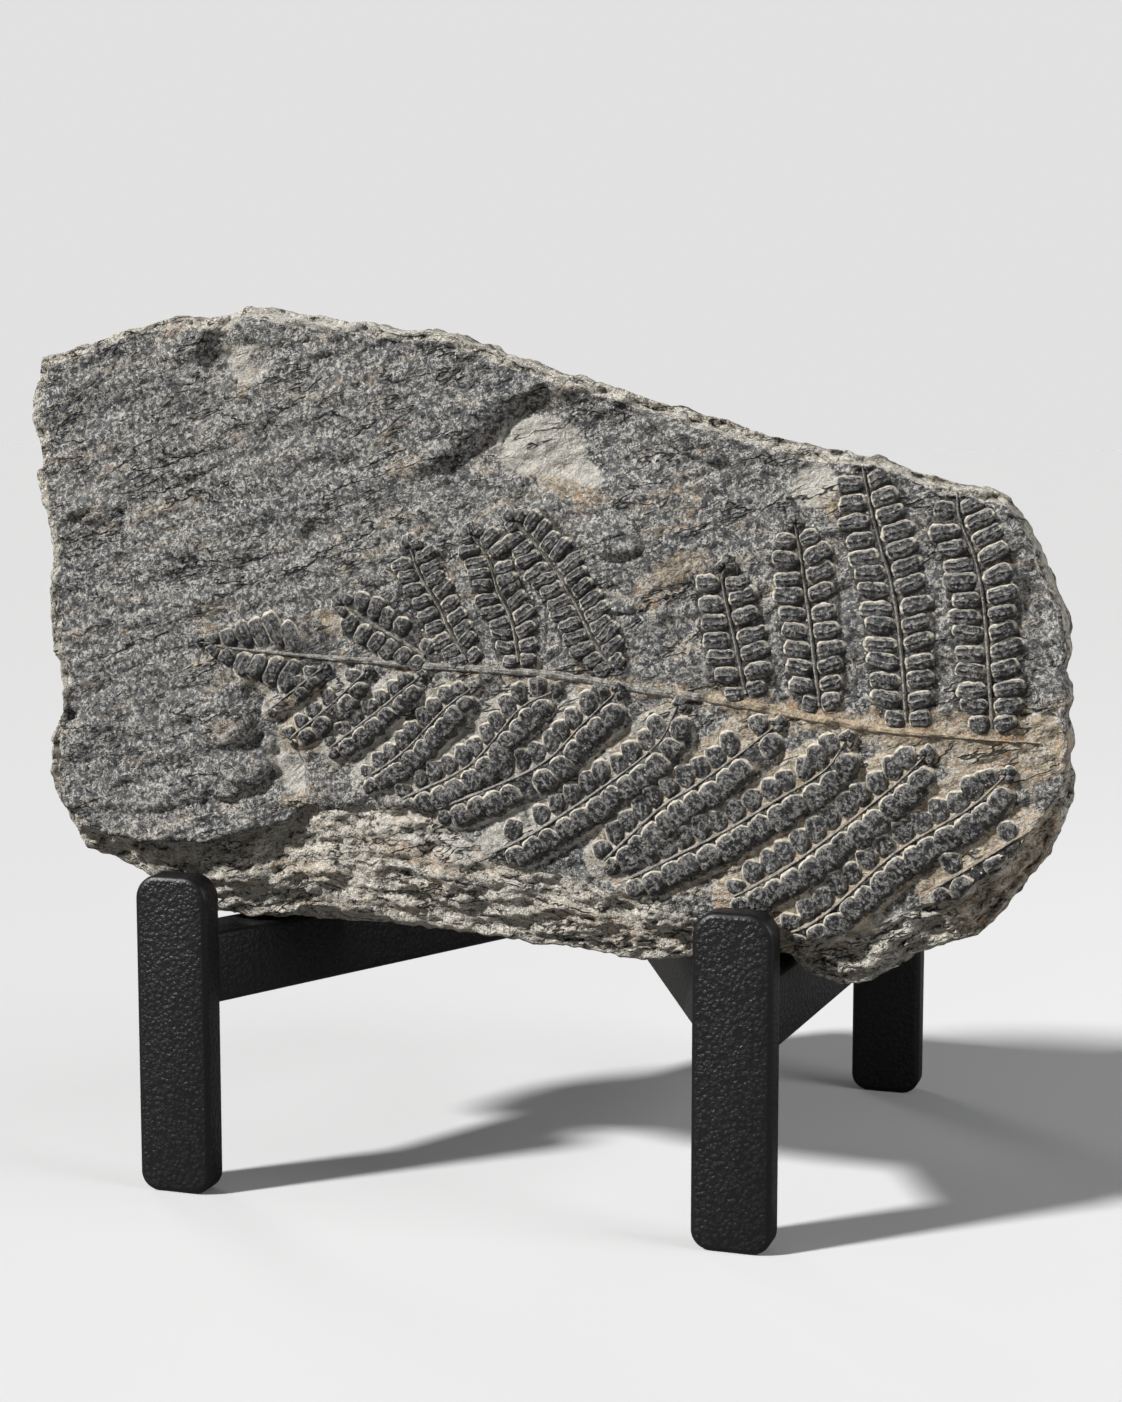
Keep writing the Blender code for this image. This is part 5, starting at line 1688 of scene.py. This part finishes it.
@dataclass
class BarStand:
    """The stand: three upright bars and four level ones, with rounded edges and a pebbled coat."""

    frame: StandFrame
    slab: ShaleSlab
    top_radius: float = 6.0
    foot_radius: float = 4.6
    edge: float = 1.3
    rail_edge: float = 1.1
    rail_height: float = 17.5
    post_width: float = 19.0
    edge_steps: int = 4
    corner_steps: int = 12

    UPRIGHTS = (("left_upright", "left_post"), ("right_upright", "right_post"), ("rear_upright", "rear_post"))

    def finish_bar(self, name: str, node: str, bar: bmesh.types.BMesh, edge: float,
                   material: Material) -> bpy.types.Object:
        """Rounds a bar's edges and sets it in place of its node.

        Args:
            name: The piece's name.
            node: The node that it replaces.
            bar: The bar with sharp edges, in millimetres, which is used up.
            edge: The radius of its edges.
            material: Its finish.
        """
        bmesh.ops.recalc_face_normals(bar, faces=bar.faces)
        sharp = [e for e in bar.edges if e.calc_face_angle(0.0) > math.radians(40.0)]
        rounded = bmesh.ops.bevel(bar, geom=sharp, offset=edge, segments=self.edge_steps, profile=0.5,
                                  affect="EDGES", clamp_overlap=True)
        flat_layer = bar.verts.layers.float.new("flat")
        round_faces = set(rounded["faces"])
        for vertex in bar.verts:
            vertex[flat_layer] = 0.0 if all(face in round_faces for face in vertex.link_faces) else 1.0
            vertex.co = Vector(self.frame.metres(np.array(vertex.co)))
        mesh = bpy.data.meshes.new(name)
        bar.to_mesh(mesh)
        bar.free()
        mesh.shade_smooth()
        mesh.set_sharp_from_angle(angle=math.radians(30.0))
        mesh.materials.append(material)
        piece = add_object(name, mesh)
        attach(piece, BODY)
        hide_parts(node)
        return piece

    def build_upright(self, name: str, node: str, material: Material) -> bpy.types.Object:
        """Builds one upright bar, as wide, deep and tall as its node.

        Args:
            name: The piece's name.
            node: The node that it replaces.
            material: Its finish.
        """
        low, high = (self.frame.millimetres(np.array(corner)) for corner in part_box(node))
        bar = bmesh.new()
        bmesh.ops.create_cube(bar, size=1.0)
        size = high - low
        for vertex in bar.verts:
            vertex.co = Vector((low + high) / 2 + np.array(vertex.co) * size)
        for radius, level in ((self.top_radius, high[2]), (self.foot_radius, low[2])):
            corners = [edge for edge in bar.edges
                       if all(abs(vertex.co.z - level) < 0.01 for vertex in edge.verts)
                       and abs(edge.verts[0].co.y - edge.verts[1].co.y) > 0.5 * size[1]]
            bmesh.ops.bevel(bar, geom=corners, offset=radius, segments=self.corner_steps, profile=0.5,
                            affect="EDGES")
        return self.finish_bar(name, node, bar, self.edge, material)

    def beside(self, deep: float, shift: float) -> float:
        """Returns how far across the right rail's middle line lies at a depth, moved right by shift."""
        slab = self.slab
        return slab.post_spacing / 2 - math.tan(slab.rail_angle) * (deep - slab.post_depth) + shift

    def plans(self) -> dict[str, list[Point]]:
        """Returns the rails' plans, each a row of corners (across, deep) in order round it."""
        slab = self.slab
        gap = slab.clearance
        start = slab.post_depth + gap
        end = slab.rear_post[1] + slab.post_depth
        half = slab.rail_width / math.cos(slab.rail_angle) / 2
        meet = slab.post_depth + (slab.post_spacing / 2 - half - gap / 2) / math.tan(slab.rail_angle)
        slanting = [(self.beside(start, half), start), (self.beside(end, half), end), (gap / 2, end),
                    (gap / 2, meet), (self.beside(start, -half), start)]
        face = (slab.rail_width / 2 + gap) / math.cos(slab.rail_angle)
        left = slab.rear_post[0] - slab.rail_width / 2
        near = slab.post_depth + (slab.post_spacing / 2 + face - left) / math.tan(slab.rail_angle)
        side_end = slab.rear_post[1] - gap
        side = [(self.beside(start, face), start), (left + slab.rail_width, side_end), (left, side_end),
                (left, near)]
        front = end - slab.rail_width
        right = slab.rear_post[0] - self.post_width / 2 - gap
        rear = [(self.beside(front, face), front), (right, front), (right, end),
                (self.beside(end, face), end)]
        return {"left_rail": [(-across, deep) for across, deep in slanting], "right_rail": slanting,
                "side_rail": side, "rear_rail": rear}

    def build_level(self, node: str, plan: list[Point], material: Material) -> bpy.types.Object:
        """Builds one level bar from its plan.

        Args:
            node: The node that it replaces.
            plan: The corners round it.
            material: Its finish.
        """
        bar = bmesh.new()
        top = self.slab.rail_top
        rings = [[bar.verts.new((across, deep, level)) for across, deep in plan]
                 for level in (top - self.rail_height, top)]
        bar.faces.new(rings[0])
        bar.faces.new(rings[1])
        count = len(plan)
        for step in range(count):
            after = (step + 1) % count
            bar.faces.new((rings[0][step], rings[0][after], rings[1][after], rings[1][step]))
        return self.finish_bar(node.replace("rail", "level_bar"), node, bar, self.rail_edge, material)

    def build(self, material: Material) -> list[bpy.types.Object]:
        """Builds all the bars.

        Args:
            material: Their finish.
        """
        bars = [self.build_upright(name, node, material) for name, node in self.UPRIGHTS]
        bars += [self.build_level(node, plan, material) for node, plan in self.plans().items()]
        return bars


@dataclass
class Studio:
    """Pale floor, soft lights and the camera."""

    view: FaceView
    frame: StandFrame
    floor_half: float = 9.0
    sky: Colour = (0.757, 0.756, 0.755)
    sun_colour: Colour = (1.0, 0.985, 0.96)
    fill_colour: Colour = (0.95, 0.975, 1.0)
    aim: Place = (0.0, -0.03, 0.12)

    def build_floor(self) -> None:
        """Builds the floor under the stand's feet."""
        half = self.floor_half
        corners = np.array(((-half, -half, 0.0), (half, -half, 0.0), (half, half, 0.0), (-half, half, 0.0)))
        piece_from("floor", corners, [(0, 1, 2, 3)], FloorFinish().material())

    @staticmethod
    def add_lamp(name: str, lamp: bpy.types.Light, power: float, colour: Colour,
                 way: Vector) -> bpy.types.Object:
        """Adds a light that shines along a direction and returns its object."""
        lamp.energy = power
        lamp.color = colour
        holder = add_object(name, lamp)
        holder.rotation_euler = way.to_track_quat("-Z", "Y").to_euler()
        return holder

    def build_light(self, name: str, place: Place, aim: Place, size: float, power: float,
                    colour: Colour = (1.0, 1.0, 1.0)) -> None:
        """Builds one soft square light.

        Args:
            name: Its name.
            place: Where it hangs, in metres.
            aim: What it points at.
            size: Its side in metres.
            power: Its power in watts.
            colour: Its colour.
        """
        lamp = bpy.data.lights.new(name, "AREA")
        lamp.shape = "SQUARE"
        lamp.size = size
        self.add_lamp(name, lamp, power, colour, Vector(aim) - Vector(place)).location = place

    def build_sun(self, name: str, way: Place, spread: float, power: float) -> None:
        """Builds an even light, which reaches the whole floor.

        Args:
            name: Its name.
            way: The direction that it comes from.
            spread: How wide it looks, in degrees.
            power: Its strength.
        """
        lamp = bpy.data.lights.new(name, "SUN")
        lamp.angle = math.radians(spread)
        self.add_lamp(name, lamp, power, self.sun_colour, -Vector(way))

    def build_sky(self, seen: float, cast: float) -> None:
        """Builds the pale surroundings.

        Args:
            seen: How bright they look.
            cast: How much light they cast.
        """
        world = bpy.data.worlds.new("pale studio")
        world.use_nodes = True
        sheet = NodeSheet(world.node_tree)
        backdrop = world.node_tree.nodes["Background"]
        backdrop.inputs["Color"].default_value = (*self.sky, 1.0)
        straight = sheet.add("ShaderNodeLightPath").outputs["Is Camera Ray"]
        world.node_tree.links.new(sheet.rise(straight, 0.0, 1.0, cast, seen), backdrop.inputs["Strength"])
        bpy.context.scene.world = world

    def build_camera(self) -> None:
        """Builds the camera where the face's view is taken from."""
        camera = bpy.data.cameras.new("camera")
        camera.sensor_width = 36.0
        camera.lens = self.view.focal / self.view.height * camera.sensor_width
        camera.clip_start = 0.01
        camera.clip_end = 50.0
        holder = add_object("camera", camera)
        holder.location = self.frame.metres(np.array(self.view.place))
        holder.rotation_euler = (math.pi / 2 - self.view.pitch, 0.0, self.view.yaw)
        bpy.context.scene.camera = holder

    def build(self) -> None:
        """Builds the whole studio."""
        self.build_camera()
        self.build_floor()
        self.build_sun("key_light", (-0.74, -0.68, 0.76), 6.0, 4.8)
        self.build_sun("back_light", (-0.72, 0.62, 0.32), 20.0, 0.6)
        self.build_light("fill_light", (0.75, -1.2, 0.5), self.aim, 1.0, 0.55, self.fill_colour)
        self.build_light("rim_light", (0.95, -0.15, 0.5), self.aim, 0.5, 3.6)
        self.build_sky(1.0, 0.14)
        bpy.context.scene.view_settings.view_transform = "Standard"


def main() -> None:
    """Builds the slab, its frond, its stand and the studio."""
    logging.basicConfig(level=logging.INFO, format="%(message)s")
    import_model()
    view = FaceView()
    frame = StandFrame.from_post("left_post", (-79.75, 0.0, 0.0))
    effects = Effects()

    slab = ShaleSlab(view, frame)
    stone = slab.build(ShaleFinish().material(effects))
    LOG.info("%s: %d faces", stone.name, len(stone.data.polygons))
    frond = Frond(view, frame, slab)
    leaflets = frond.build_leaflets(stone, LeafletFinish().material(effects))
    LOG.info("%s: %d faces", leaflets.name, len(leaflets.data.polygons))
    ridges = frond.build_ridges(stone, StemFinish().material(effects))
    LOG.info("%s: %d faces", ridges.name, len(ridges.data.polygons))
    for bar in BarStand(frame, slab).build(BlackCoatFinish().material()):
        LOG.info("%s: %d faces", bar.name, len(bar.data.polygons))
    Studio(view, frame).build()

    bpy.context.view_layer.update()


if __name__ == "__main__":
    main()
